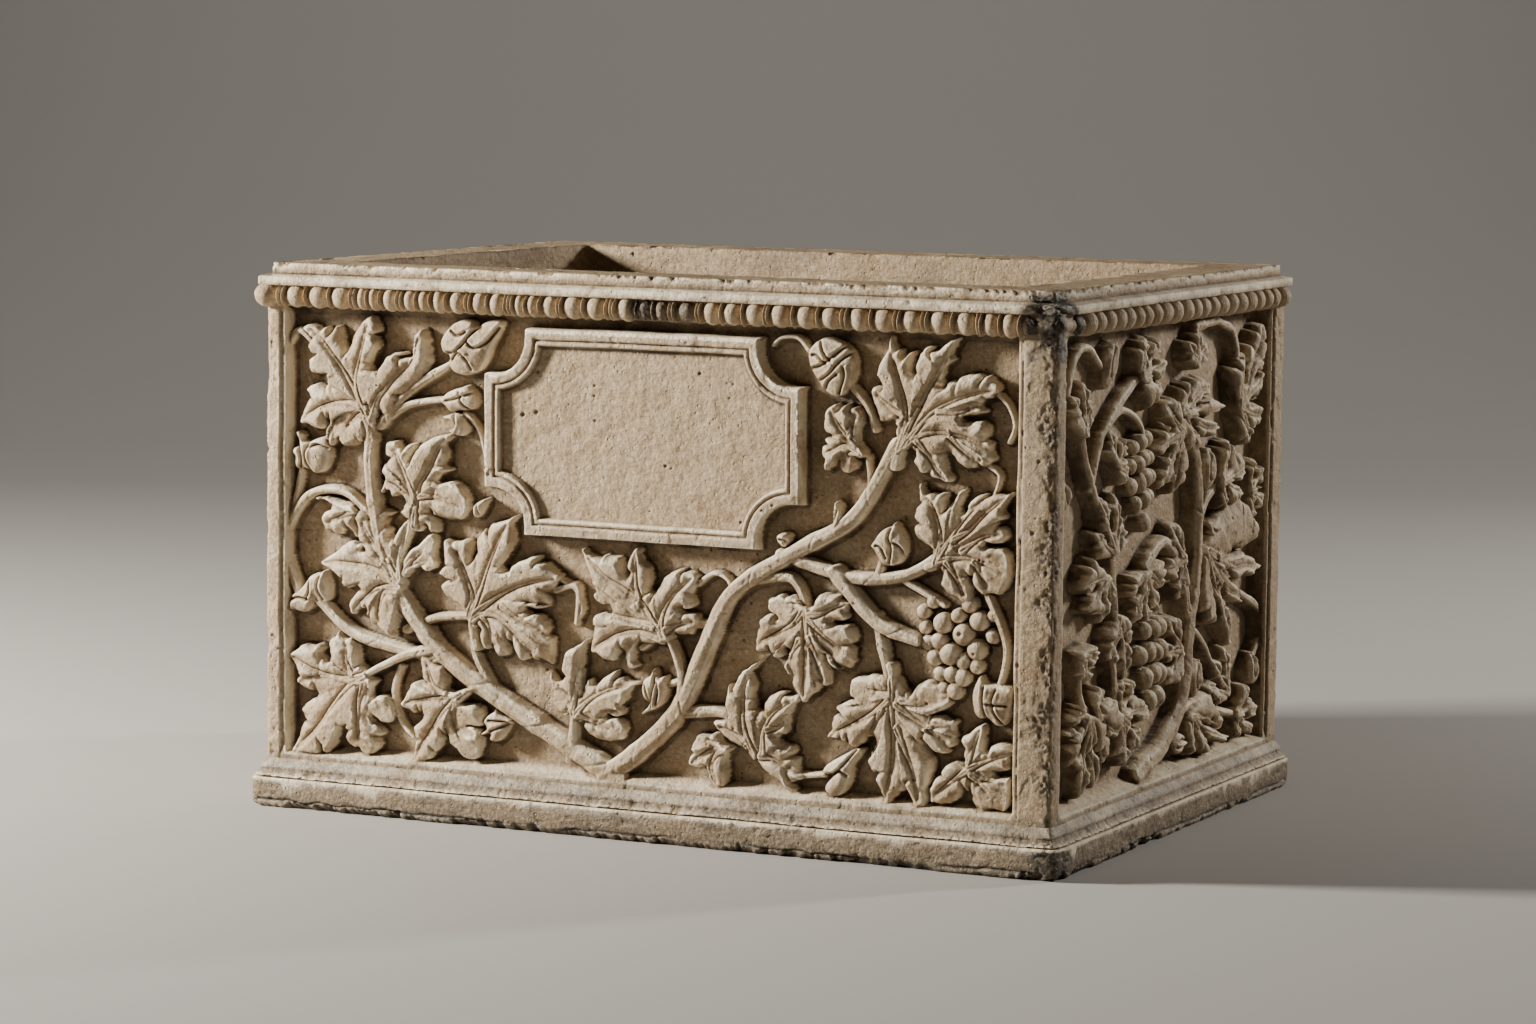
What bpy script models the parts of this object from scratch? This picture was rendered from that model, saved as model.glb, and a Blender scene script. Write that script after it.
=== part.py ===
"""Stone cinerary urn: an open marble ash chest, cut from one block and carved in relief.

A vine grows over the front and both short sides. The front carries a blank framed tablet.
Metres, +Z up, origin at the middle of the underside. The front faces -Y.
"""
import math

import bmesh
import bpy
from mathutils import Vector

# The block, measured at the faces of the corner pilasters
BODY_WIDTH = 0.4465
BODY_DEPTH = 0.3245
HEIGHT = 0.286
ARRIS = 0.0014

# The hollow for the ashes
LONG_WALL = 0.034
SHORT_WALL = 0.0325
FLOOR_THICKNESS = 0.040
HOLLOW_CORNER = 0.006

# Plinth, upwards: fascia, groove, torus, cavetto, sill of the panels
PLINTH_PROJECTION = 0.00675
PLINTH_FASCIA = 0.0153
PLINTH_CORNER = 0.004
PLINTH_GROOVE = 0.0008
PLINTH_GROOVE_DEPTH = 0.0016
TORUS_HEIGHT = 0.0034
TORUS_BULGE = 0.0014
CAVETTO_HEIGHT = 0.0057
SILL_HEIGHT = 0.0035

# Rim, downwards: top fascia, ledge, flat band, bead moulding, cornice over the panels
TOP_FASCIA = 0.006
TOP_SETBACK = 0.002
LEDGE_HEIGHT = 0.0012
BAND_HEIGHT = 0.0045
BAND_PROJECTION = 0.0035
BEAD_RADIUS = 0.0053
BEAD_SEAT = 0.0008
BEAD_LAP = 0.0004
BEAD_PITCH = 0.013
BEAD_SHARE = 0.66
REEL_RADIUS = 0.0044
NECK_RADIUS = 0.0026
CORNICE_HEIGHT = 0.003

# Sunk panels between the pilasters
PANEL_DEPTH = 0.012
FRONT_LEFT_PILASTER = 0.008
FRONT_RIGHT_PILASTER = 0.018
SIDE_PILASTER = 0.013
BACK_PILASTER = 0.020
BACK_PANEL_DEPTH = 0.005
FILLET_WIDTH = 0.0025
FILLET_STEP = 0.0015

# Blank tablet on the front: each corner is a hollow quarter circle between two square ears
TABLET_WIDTH = 0.179
TABLET_HEIGHT = 0.1055
TABLET_OFF_CENTRE = -0.0035
TABLET_BELOW_CORNICE = 0.0035
TABLET_EAR = 0.005
TABLET_COVE = 0.0185
TABLET_FRAME = 0.0085
TABLET_RELIEF = 0.0115
TABLET_FIELD_DEPTH = 0.005
TABLET_ARC_POINTS = 5

# Relief: how far leaves, stems, buds and grapes stand out from the ground
LEAF_RELIEF = 0.0100
STEM_RELIEF = 0.0075
BUD_RELIEF = 0.0105
GRAPE_RELIEF = 0.0105
RELIEF_ROOT = 0.002

# Section shapes: flat top of a stem as a share of its width, shoulder of a bud or berry as shares of
# its width and its relief, width of a berry as a share of the space between two rows, and the width
# of the rows of a bunch from its top to its foot
STEM_FLAT_SHARE = 0.54
DOME_SHOULDER_SHARE = 0.86
DOME_SHOULDER_RELIEF_SHARE = 0.60
BUNCH_ROW_SHARES = (0.75, 1.0, 0.85, 0.70, 0.45)
DOME_SIDES = 5
BERRY_SHARE = 0.96

# Leaf outlines: the shape of a lobe as shares of its length, its spread in degrees, and the length
# in millimetres on the sheets below which it comes to a plain point
LOBE_SHOULDER_SHARE = 0.74
LOBE_SHOULDER_SPREAD = 21.0
LOBE_SPREAD_LIMIT = 0.66
LOBE_SINUS_SHARE = 0.46
LOBE_RIDGE_SHARE = 0.50
SMALL_LOBE = 34.0
LEAF_HEEL_SHARE = 0.10
TIP_RELIEF_SHARE = 0.62
SHOULDER_RELIEF_SHARE = 0.72
SINUS_RELIEF_SHARE = 0.50
JUNCTION_RELIEF_SHARE = 0.70

# The carver's cartoons are drawn in millimetres from the bottom left corner of a face: the length of
# each face on its sheet, and the heights of the foot and the top of the panel
FRONT_SHEET = 446.5
SIDE_SHEET = 324.5
SHEET_PANEL_FOOT = 28.7
SHEET_PANEL_TOP = 260.0
STEM_STEP = 26.0

# Each leaf: where its stalk joins, then the tips of its lobes
FRONT_LEAVES = (
    ((63, 205), (95, 240), (62, 258), (30, 254), (20, 212), (40, 195)),
    ((91, 156), (73, 193), (107, 200), (120, 172), (108, 150), (69, 170)),
    ((82, 120), (66, 160), (34, 152), (34, 131), (50, 110), (74, 96)),
    ((60, 73), (20, 32), (14, 80), (45, 90), (62, 32), (78, 50)),
    ((120, 68), (90, 32), (82, 60), (100, 86), (125, 33), (130, 55)),
    ((154, 54), (128, 58), (128, 46), (142, 40)),
    ((122, 107), (148, 151), (107, 145), (107, 124), (174, 131), (170, 100), (140, 86)),
    ((184, 66), (190, 98), (169, 76), (216, 81), (222, 60)),
    ((220, 97), (182, 143), (216, 147), (245, 137), (193, 98), (240, 108), (208, 86)),
    ((286, 50), (287, 98), (270, 82), (310, 78), (318, 38)),
    ((272, 50), (252, 55), (250, 42), (262, 30)),
    ((314, 124), (310, 79), (287, 101), (293, 127), (336, 130), (340, 100), (330, 85)),
    ((345, 201), (321, 205), (322, 222), (335, 227), (335, 195)),
    ((362, 208), (356, 258), (392, 257), (349, 230), (418, 230), (416, 205), (385, 192)),
    ((383, 153), (375, 188), (400, 185), (424, 187), (424, 152), (416, 138), (395, 130)),
    ((361, 84), (357, 31), (376, 32), (327, 60), (338, 88), (398, 63), (395, 82)),
    ((402, 52), (410, 70), (424, 60), (415, 33), (385, 33)),
)

# Each stem: width at its foot and at its end, then points along it
FRONT_STEMS = (
    (11, 7, (203, 32), (221, 45), (243, 68), (258, 100), (274, 130), (310, 153), (340, 172), (362, 208)),
    (12, 6, (208, 30), (165, 52), (115, 80), (90, 103), (73, 130), (63, 175), (63, 206)),
    (7, 5, (110, 84), (75, 88), (50, 95), (32, 110)),
    (6, 4, (18, 115), (10, 140), (24, 164), (45, 168), (62, 157)),
    (4, 4, (15, 156), (20, 180)),
    (6, 4, (68, 204), (85, 222), (112, 238)),
    (5, 3, (66, 203), (85, 215), (112, 219)),
    (5, 4, (98, 104), (122, 107)),
    (5, 4, (134, 72), (125, 88), (123, 106)),
    (4, 3, (172, 124), (184, 126), (184, 108)),
    (6, 5, (181, 38), (184, 66)),
    (4, 4, (228, 78), (244, 82)),
    (6, 5, (243, 66), (270, 67), (286, 48)),
    (5, 4, (262, 112), (240, 110), (222, 98)),
    (6, 4, (283, 136), (305, 138), (314, 124)),
    (7, 6, (300, 150), (335, 141), (365, 143), (384, 153)),
    (9, 6, (330, 142), (352, 120), (374, 112)),
    (6, 5, (352, 122), (361, 84)),
    (5, 4, (352, 142), (356, 154)),
    (4, 4, (349, 215), (345, 226), (334, 238)),
    (4, 3, (322, 160), (345, 178), (346, 201)),
    (4, 3, (408, 142), (421, 112), (417, 88)),
    (4, 3, (362, 143), (388, 130)),
    (4, 3, (300, 38), (324, 41)),
)

# Each bud: its middle, length, width and the angle of its axis
FRONT_BUDS = (
    (27, 112, 14, 12, 60),
    (26, 189, 24, 15, -60),
    (122, 247, 34, 18, 25),
    (118, 221, 18, 13, -30),
    (228, 77, 13, 12, 0),
    (329, 244, 27, 22, 125),
    (357, 158, 18, 15, 80),
    (416, 82, 20, 18, 90),
    (335, 44, 27, 14, 20),
)

# Each bunch of grapes: its top, its foot and its greatest width
FRONT_GRAPES = (((389, 129), (392, 88), 42),)

SIDE_LEAVES = (
    ((44, 213), (28, 236), (41, 242), (54, 230)),
    ((120, 236), (128, 257), (150, 256), (160, 244), (152, 230)),
    ((198, 238), (186, 252), (202, 259), (213, 250)),
    ((176, 216), (190, 230), (222, 227), (247, 213), (238, 202), (208, 196)),
    ((262, 212), (270, 242), (300, 255), (306, 226), (304, 204), (284, 192)),
    ((236, 174), (250, 196), (278, 180), (274, 166), (250, 160)),
    ((282, 166), (290, 184), (306, 176), (304, 158), (290, 148)),
    ((214, 140), (306, 122), (298, 139), (278, 106), (262, 84), (234, 100)),
    ((84, 150), (64, 182), (90, 181), (98, 166), (62, 163)),
    ((78, 140), (46, 138), (52, 126), (72, 117), (84, 124)),
    ((130, 138), (158, 126), (154, 114), (136, 111), (116, 112), (112, 126)),
    ((44, 104), (68, 98), (58, 88), (48, 90)),
    ((54, 74), (36, 74), (34, 50), (46, 32), (66, 34), (80, 46)),
    ((62, 76), (78, 82), (103, 58), (84, 50)),
    ((98, 68), (104, 86), (122, 82), (140, 66), (130, 48), (110, 40)),
    ((196, 54), (206, 33), (230, 33), (250, 40), (264, 34)),
    ((268, 46), (282, 33), (300, 32), (306, 45), (292, 58)),
    ((252, 60), (232, 80), (250, 86), (226, 66)),
)
SIDE_STEMS = (
    (12, 7, (128, 32), (165, 44), (190, 66), (198, 100), (207, 145), (202, 188), (172, 213)),
    (8, 6, (198, 106), (188, 128), (160, 150), (134, 140)),
    (7, 5, (98, 66), (92, 95), (92, 125), (84, 150), (62, 182), (50, 200), (45, 214)),
    (6, 5, (58, 186), (72, 208), (98, 226), (122, 237)),
    (5, 4, (28, 236), (38, 252), (56, 256), (78, 240)),
    (5, 4, (74, 211), (100, 222), (124, 214), (131, 204)),
    (6, 4, (204, 258), (236, 259), (262, 246), (263, 211)),
    (5, 4, (208, 152), (226, 166), (238, 174)),
    (5, 4, (280, 110), (306, 100), (310, 86), (298, 72)),
    (6, 5, (186, 58), (214, 58), (268, 46)),
    (5, 3, (199, 104), (216, 96), (236, 78)),
    (5, 4, (66, 72), (52, 80), (44, 104)),
)
SIDE_BUDS = (
    (80, 246, 26, 16, 60),
    (22, 186, 15, 12, 90),
    (186, 42, 22, 12, 0),
    (209, 73, 22, 16, 70),
    (222, 182, 22, 16, 80),
    (297, 68, 18, 15, 90),
)
SIDE_GRAPES = (
    ((126, 203), (132, 163), 42),
    ((148, 106), (150, 70), 30),
)

# The left side repeats the right one, with only its leaves of this many lobes, its stems of this
# width at the foot and one bunch of grapes
LEFT_LOBES = 5
LEFT_STEM = 7

MM = 0.001
ROLL_SIDES = 6

for old in list(bpy.data.objects):
    bpy.data.objects.remove(old)


# The heights where one part of the chest ends and the next begins
def heights():
    """Levels of the mouldings above the ground the chest stands on."""
    level = {"fascia_top": PLINTH_FASCIA}
    level["torus_foot"] = level["fascia_top"] + PLINTH_GROOVE
    level["torus_top"] = level["torus_foot"] + TORUS_HEIGHT
    level["plinth_top"] = level["torus_top"] + CAVETTO_HEIGHT
    level["panel_foot"] = level["plinth_top"] + SILL_HEIGHT
    level["ledge_top"] = HEIGHT - TOP_FASCIA
    level["band_top"] = level["ledge_top"] - LEDGE_HEIGHT
    level["bead_top"] = level["band_top"] - BAND_HEIGHT
    level["bead_middle"] = level["bead_top"] + BEAD_LAP - BEAD_RADIUS
    level["bead_foot"] = level["bead_middle"] - BEAD_RADIUS
    level["panel_top"] = level["bead_foot"] - CORNICE_HEIGHT
    return level


LEVEL = heights()


def chest_profile():
    """Outer section from the ground to the rim: height and projection past the pilasters."""
    groove = PLINTH_PROJECTION - PLINTH_GROOVE_DEPTH
    points = [(0.0, PLINTH_PROJECTION), (LEVEL["fascia_top"], PLINTH_PROJECTION)]
    points.append((LEVEL["fascia_top"] + PLINTH_GROOVE / 2, groove))
    for share in (0.0, 0.3, 0.7, 1.0):
        bulge = TORUS_BULGE * math.sin(math.pi * share)
        points.append((LEVEL["torus_foot"] + TORUS_HEIGHT * share, groove + bulge))
    for degrees in (30, 60, 90):
        turn = math.radians(degrees)
        rise = CAVETTO_HEIGHT * (1 - math.cos(turn))
        points.append((LEVEL["torus_top"] + rise, groove * (1 - math.sin(turn))))
    points.append((LEVEL["bead_top"], 0.0))
    points.append((LEVEL["bead_top"], BAND_PROJECTION))
    points.append((LEVEL["band_top"], BAND_PROJECTION))
    points.append((LEVEL["ledge_top"], -TOP_SETBACK))
    points.append((HEIGHT, -TOP_SETBACK))
    return points


def corner_ring(mesh, half_width, half_depth, z, corner):
    """Eight points of a rectangle with cut corners, anticlockwise seen from above."""
    near_x, near_y = half_width - corner, half_depth - corner
    outline = ((near_x, -half_depth), (half_width, -near_y), (half_width, near_y), (near_x, half_depth),
               (-near_x, half_depth), (-half_width, near_y), (-half_width, -near_y), (-near_x, -half_depth))
    return [mesh.verts.new((x, y, z)) for x, y in outline]


def bridge(mesh, lower, upper):
    """A band of faces between two rings with as many points."""
    count = len(lower)
    for i in range(count):
        j = (i + 1) % count
        mesh.faces.new((lower[i], lower[j], upper[j], upper[i]))


def chest_block():
    """Block with its plinth and rim mouldings and the hollow, before any carving."""
    mesh = bmesh.new()
    rings = []
    for z, projection in chest_profile():
        corner = PLINTH_CORNER if z <= LEVEL["torus_top"] else ARRIS
        rings.append(corner_ring(mesh, BODY_WIDTH / 2 + projection, BODY_DEPTH / 2 + projection, z, corner))
    inner_x = BODY_WIDTH / 2 - TOP_SETBACK - SHORT_WALL
    inner_y = BODY_DEPTH / 2 - TOP_SETBACK - LONG_WALL
    for z in (HEIGHT, FLOOR_THICKNESS):
        rings.append(corner_ring(mesh, inner_x, inner_y, z, HOLLOW_CORNER))
    for lower, upper in zip(rings, rings[1:]):
        bridge(mesh, lower, upper)
    mesh.faces.new(rings[-1])
    mesh.faces.new(list(reversed(rings[0])))
    return mesh


# A face of the chest turns places drawn on its sheet into points in space
def front_place(s, z, out):
    """Front: s runs to the right, out is the distance past the pilasters."""
    return Vector((s - BODY_WIDTH / 2, -BODY_DEPTH / 2 - out, z))


def back_place(s, z, out):
    """Back: s runs as on the front."""
    return Vector((s - BODY_WIDTH / 2, BODY_DEPTH / 2 + out, z))


def right_place(s, z, out):
    """Right side: s runs from the front corner to the back."""
    return Vector((BODY_WIDTH / 2 + out, s - BODY_DEPTH / 2, z))


def left_place(s, z, out):
    """Left side: the mirror image of the right one."""
    return Vector((-BODY_WIDTH / 2 - out, s - BODY_DEPTH / 2, z))


def panel_cutter(mesh, place, length, left, right, depth):
    """Stepped block that sinks one panel and leaves a fillet along its pilasters."""
    overshoot = BAND_PROJECTION
    steps = ((overshoot, 0.0), (-FILLET_STEP, 0.0), (-FILLET_STEP, FILLET_WIDTH), (-depth, FILLET_WIDTH))
    rings = []
    for out, inset in steps:
        low, high = LEVEL["panel_foot"], LEVEL["panel_top"]
        near, far = left + inset, length - right - inset
        corners = ((near, low), (far, low), (far, high), (near, high))
        rings.append([mesh.verts.new(place(s, z, out)) for s, z in corners])
    for lower, upper in zip(rings, rings[1:]):
        bridge(mesh, lower, upper)
    mesh.faces.new(rings[0])
    mesh.faces.new(rings[-1])


def panel_cutters():
    """The four sunk panels."""
    mesh = bmesh.new()
    panel_cutter(mesh, front_place, BODY_WIDTH, FRONT_LEFT_PILASTER, FRONT_RIGHT_PILASTER, PANEL_DEPTH)
    panel_cutter(mesh, right_place, BODY_DEPTH, SIDE_PILASTER, SIDE_PILASTER, PANEL_DEPTH)
    panel_cutter(mesh, left_place, BODY_DEPTH, SIDE_PILASTER, SIDE_PILASTER, PANEL_DEPTH)
    panel_cutter(mesh, back_place, BODY_WIDTH, BACK_PILASTER, BACK_PILASTER, BACK_PANEL_DEPTH)
    return mesh


# Bead-and-reel moulding
def bead_string(mesh, place, length):
    """Beads and thin reels turned on one axis, their back half inside the stone."""
    middle = LEVEL["bead_middle"]
    overhang = BEAD_RADIUS - BEAD_SEAT
    run = length + 2 * overhang
    count = round(run / BEAD_PITCH)
    pitch = run / count
    bead = pitch * BEAD_SHARE
    section = ((0.0, NECK_RADIUS), (bead / 2, BEAD_RADIUS), (bead, NECK_RADIUS),
               ((pitch + bead) / 2, REEL_RADIUS))
    rings = []
    for i in range(count):
        for along, radius in section:
            s = i * pitch + along - overhang
            ring = []
            for degrees in (-90, -32, 32, 90):
                turn = math.radians(degrees)
                out = radius * math.cos(turn) - BEAD_SEAT
                ring.append(mesh.verts.new(place(s, middle + radius * math.sin(turn), out)))
            rings.append(ring)
    for lower, upper in zip(rings, rings[1:]):
        bridge(mesh, lower, upper)
    mesh.faces.new(rings[0])
    mesh.faces.new(rings[-1])


def plain_roll(mesh, place, length):
    """Plain round moulding that takes the place of the beads along the back."""
    middle = LEVEL["bead_middle"]
    overhang = BEAD_RADIUS - BEAD_SEAT
    rings = []
    for s in (-overhang, length + overhang):
        ring = []
        for step in range(ROLL_SIDES):
            turn = 2 * math.pi * (step + 0.5) / ROLL_SIDES
            out = BEAD_RADIUS * math.cos(turn) - BEAD_SEAT
            ring.append(mesh.verts.new(place(s, middle + BEAD_RADIUS * math.sin(turn), out)))
        rings.append(ring)
    bridge(mesh, rings[0], rings[1])
    mesh.faces.new(rings[0])
    mesh.faces.new(rings[1])


# Tablet
def tablet_outline(inset):
    """Rectangle with hollow round corners between ears, drawn inset by the given distance."""
    centre = BODY_WIDTH / 2 + TABLET_OFF_CENTRE
    top = LEVEL["panel_top"] - TABLET_BELOW_CORNICE
    corners = ((centre + TABLET_WIDTH / 2, top, 180), (centre - TABLET_WIDTH / 2, top, 270),
               (centre - TABLET_WIDTH / 2, top - TABLET_HEIGHT, 0),
               (centre + TABLET_WIDTH / 2, top - TABLET_HEIGHT, 90))
    radius = TABLET_COVE + inset
    ear = max(TABLET_EAR - inset, 0.0)
    lost = math.asin(max(inset - TABLET_EAR, 0.0) / radius)
    arc_points = TABLET_ARC_POINTS if ear else TABLET_ARC_POINTS + 2
    points = []
    for s, z, degrees in corners:
        start = math.radians(degrees)
        first = Vector((-math.sin(start), math.cos(start)))
        last = Vector((math.cos(start), math.sin(start)))
        centre = Vector((s, z)) + (first + last) * TABLET_EAR
        if ear:
            points.append(centre + first * radius - last * ear)
        for i in range(arc_points):
            turn = lost + i / (arc_points - 1) * (math.pi / 2 - 2 * lost)
            points.append(centre + (first * math.cos(turn) + last * math.sin(turn)) * radius)
        if ear:
            points.append(centre + last * radius - first * ear)
    return points


def tablet(mesh):
    """Raised frame round a blank field."""
    ground = -PANEL_DEPTH
    face = ground + TABLET_RELIEF
    steps = ((0.0, ground - RELIEF_ROOT), (0.0, face), (TABLET_FRAME, face),
             (TABLET_FRAME, face - TABLET_FIELD_DEPTH))
    rings = []
    for inset, out in steps:
        rings.append([mesh.verts.new(front_place(s, z, out)) for s, z in tablet_outline(inset)])
    for lower, upper in zip(rings, rings[1:]):
        bridge(mesh, lower, upper)
    mesh.faces.new(rings[0])
    mesh.faces.new(rings[-1])


# Vine
def leaf_shape(joint, tips):
    """Outline of a lobed leaf round its joint, and its lobes.

    Each outline point is (position, share of the relief). Each lobe is (ridge point, the numbers of
    its outline points from the valley before it to the valley after it).
    """
    joint = Vector(joint)
    rays = sorted((Vector(tip) - joint for tip in tips), key=lambda ray: math.atan2(ray.y, ray.x))
    angles = [math.atan2(ray.y, ray.x) for ray in rays]
    gaps = [(angles[(i + 1) % len(angles)] - angles[i]) % (2 * math.pi) for i in range(len(angles))]
    first = (gaps.index(max(gaps)) + 1) % len(angles)
    order = [(first + i) % len(angles) for i in range(len(angles))]
    rays = [rays[i] for i in order]
    angles = [angles[first] + sum(gaps[j] for j in order[:i]) for i in range(len(order))]
    spread = math.radians(LOBE_SHOULDER_SPREAD)
    stalk = (angles[0] + angles[-1]) / 2 + math.pi
    mean = sum(ray.length for ray in rays) / len(rays)

    def around(turn, reach):
        return joint + reach * Vector((math.cos(turn), math.sin(turn)))

    outline = [(around(stalk, LEAF_HEEL_SHARE * mean), JUNCTION_RELIEF_SHARE)]
    lobes = []
    for i, ray in enumerate(rays):
        valley = len(outline) - 1
        last = i + 1 == len(rays)
        back = angles[i] - angles[i - 1] if i else 2 * spread / LOBE_SPREAD_LIMIT
        ahead = 2 * spread / LOBE_SPREAD_LIMIT if last else angles[i + 1] - angles[i]
        shoulder = (LOBE_SHOULDER_SHARE * ray.length, SHOULDER_RELIEF_SHARE)
        long_enough = ray.length > SMALL_LOBE
        if long_enough:
            turn = angles[i] - min(spread, LOBE_SPREAD_LIMIT * back / 2)
            outline.append((around(turn, shoulder[0]), shoulder[1]))
        outline.append((joint + ray, TIP_RELIEF_SHARE))
        if long_enough:
            turn = angles[i] + min(spread, LOBE_SPREAD_LIMIT * ahead / 2)
            outline.append((around(turn, shoulder[0]), shoulder[1]))
        numbers = list(range(valley, len(outline))) + [0 if last else len(outline)]
        if not last:
            reach = LOBE_SINUS_SHARE * min(ray.length, rays[i + 1].length)
            outline.append((around((angles[i] + angles[i + 1]) / 2, reach), SINUS_RELIEF_SHARE))
        lobes.append((joint + LOBE_RIDGE_SHARE * ray, numbers))
    return outline, lobes


def add_leaf(mesh, place, joint, tips, root):
    """Lobed leaf, highest along the rib of each lobe and lowest between the lobes."""
    outline, lobes = leaf_shape(joint, tips)
    ground = -PANEL_DEPTH
    base = [mesh.verts.new(place(p.x, p.y, ground - root)) for p, _ in outline]
    rim = [mesh.verts.new(place(p.x, p.y, ground + share * LEAF_RELIEF)) for p, share in outline]
    bridge(mesh, base, rim)
    mesh.faces.new(base)
    centre = mesh.verts.new(place(joint[0], joint[1], ground + JUNCTION_RELIEF_SHARE * LEAF_RELIEF))
    for ridge, numbers in lobes:
        top = mesh.verts.new(place(ridge.x, ridge.y, ground + LEAF_RELIEF))
        edge = [centre] + [rim[n] for n in numbers] + [centre]
        for near, far in zip(edge, edge[1:]):
            mesh.faces.new((near, far, top))


def smooth_path(points, step):
    """Points about one step apart on a smooth curve through the given ones."""
    points = [Vector(p) for p in points]
    path = []
    for i in range(len(points) - 1):
        before = points[max(i - 1, 0)]
        after = points[min(i + 2, len(points) - 1)]
        start, end = points[i], points[i + 1]
        count = max(1, round((end - start).length / step))
        for k in range(count):
            t = k / count
            path.append(0.5 * (2 * start + (end - before) * t
                               + (2 * before - 5 * start + 4 * end - after) * t ** 2
                               + (3 * start - before - 3 * end + after) * t ** 3))
    path.append(points[-1])
    return path


def add_stem(mesh, place, foot_width, end_width, points, root):
    """Stem with three facets, swept along its path and narrowing to its end."""
    path = smooth_path(points, STEM_STEP)
    ground = -PANEL_DEPTH
    rings = []
    for i, p in enumerate(path):
        along = path[min(i + 1, len(path) - 1)] - path[max(i - 1, 0)]
        side = Vector((-along.y, along.x)).normalized()
        width = foot_width + (end_width - foot_width) * i / (len(path) - 1)
        flat = STEM_FLAT_SHARE / 2
        section = ((-0.5, -root), (-flat, STEM_RELIEF), (flat, STEM_RELIEF), (0.5, -root))
        ring = []
        for across, out in section:
            q = p + side * across * width
            ring.append(mesh.verts.new(place(q.x, q.y, ground + out)))
        rings.append(ring)
    for lower, upper in zip(rings, rings[1:]):
        bridge(mesh, lower, upper)
    mesh.faces.new(rings[0])
    mesh.faces.new(rings[-1])


def add_dome(mesh, place, middle, size, degrees, relief, root):
    """Rounded knob: a bud or a berry."""
    turn = math.radians(degrees)
    ground = -PANEL_DEPTH
    levels = ((1.0, -root), (DOME_SHOULDER_SHARE, DOME_SHOULDER_RELIEF_SHARE * relief))
    rings = []
    for share, out in levels:
        ring = []
        for k in range(DOME_SIDES):
            angle = 2 * math.pi * (k + 0.5) / DOME_SIDES
            u = share * size[0] / 2 * math.cos(angle)
            v = share * size[1] / 2 * math.sin(angle)
            s = middle[0] + u * math.cos(turn) - v * math.sin(turn)
            z = middle[1] + u * math.sin(turn) + v * math.cos(turn)
            ring.append(mesh.verts.new(place(s, z, ground + out)))
        rings.append(ring)
    bridge(mesh, rings[0], rings[1])
    mesh.faces.new(rings[0])
    top = mesh.verts.new(place(middle[0], middle[1], ground + relief))
    for k in range(DOME_SIDES):
        mesh.faces.new((rings[1][k], rings[1][(k + 1) % DOME_SIDES], top))


def grape_places(top, foot, width):
    """Middle and diameter of each berry of a bunch, row by row down its axis."""
    top, foot = Vector(top), Vector(foot)
    axis = foot - top
    gap = axis.length / (len(BUNCH_ROW_SHARES) - 1)
    across = Vector((-axis.y, axis.x)).normalized()
    for i, share in enumerate(BUNCH_ROW_SHARES):
        middle = top + axis * i / (len(BUNCH_ROW_SHARES) - 1)
        count = max(1, round(share * width / gap))
        for k in range(count):
            yield middle + across * (k - (count - 1) / 2) * gap, BERRY_SHARE * gap


def carve_vine(mesh, face, sheet, length, leaves, stems, buds, grapes):
    """All the vine of one face, fitted from its sheet onto the face."""
    low, high = LEVEL["panel_foot"], LEVEL["panel_top"]

    def place(s, z, out):
        share = (z - SHEET_PANEL_FOOT) / (SHEET_PANEL_TOP - SHEET_PANEL_FOOT)
        return face(s / sheet * length, low + share * (high - low), out)

    shapes = 0

    def root():
        """A depth of its own for each shape, so that no two of them share a hidden face."""
        return RELIEF_ROOT + 0.01 * MM * shapes

    for foot_width, end_width, *points in stems:
        shapes += 1
        add_stem(mesh, place, foot_width, end_width, points, root())
    for joint, *tips in leaves:
        shapes += 1
        add_leaf(mesh, place, joint, tips, root())
    for s, z, long, wide, degrees in buds:
        shapes += 1
        add_dome(mesh, place, (s, z), (long, wide), degrees, BUD_RELIEF, root())
    for top, foot, width in grapes:
        for middle, diameter in grape_places(top, foot, width):
            shapes += 1
            add_dome(mesh, place, middle, (diameter, diameter), 0, GRAPE_RELIEF, root())


def carving():
    """Everything that stands out from the block: mouldings, tablet and vine."""
    mesh = bmesh.new()
    bead_string(mesh, front_place, BODY_WIDTH)
    bead_string(mesh, right_place, BODY_DEPTH)
    plain_roll(mesh, left_place, BODY_DEPTH)
    plain_roll(mesh, back_place, BODY_WIDTH)
    tablet(mesh)
    carve_vine(mesh, front_place, FRONT_SHEET, BODY_WIDTH,
               FRONT_LEAVES, FRONT_STEMS, FRONT_BUDS, FRONT_GRAPES)
    carve_vine(mesh, right_place, SIDE_SHEET, BODY_DEPTH,
               SIDE_LEAVES, SIDE_STEMS, SIDE_BUDS, SIDE_GRAPES)
    large_leaves = [leaf for leaf in SIDE_LEAVES if len(leaf[1:]) >= LEFT_LOBES]
    thick_stems = [stem for stem in SIDE_STEMS if stem[0] >= LEFT_STEM]
    carve_vine(mesh, left_place, SIDE_SHEET, BODY_DEPTH, large_leaves, thick_stems, (), SIDE_GRAPES[:1])
    return mesh


# Putting the chest together
def new_object(name, mesh):
    """Object made from a bmesh, with every shell's faces turned outwards."""
    bmesh.ops.recalc_face_normals(mesh, faces=mesh.faces)
    data = bpy.data.meshes.new(name)
    mesh.to_mesh(data)
    mesh.free()
    thing = bpy.data.objects.new(name, data)
    bpy.context.scene.collection.objects.link(thing)
    return thing


def guide_object(name, mesh):
    """Object that only shapes the chest and isn't part of it."""
    guide = new_object(name, mesh)
    guide.hide_render = True
    guide.display_type = "WIRE"
    return guide


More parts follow.
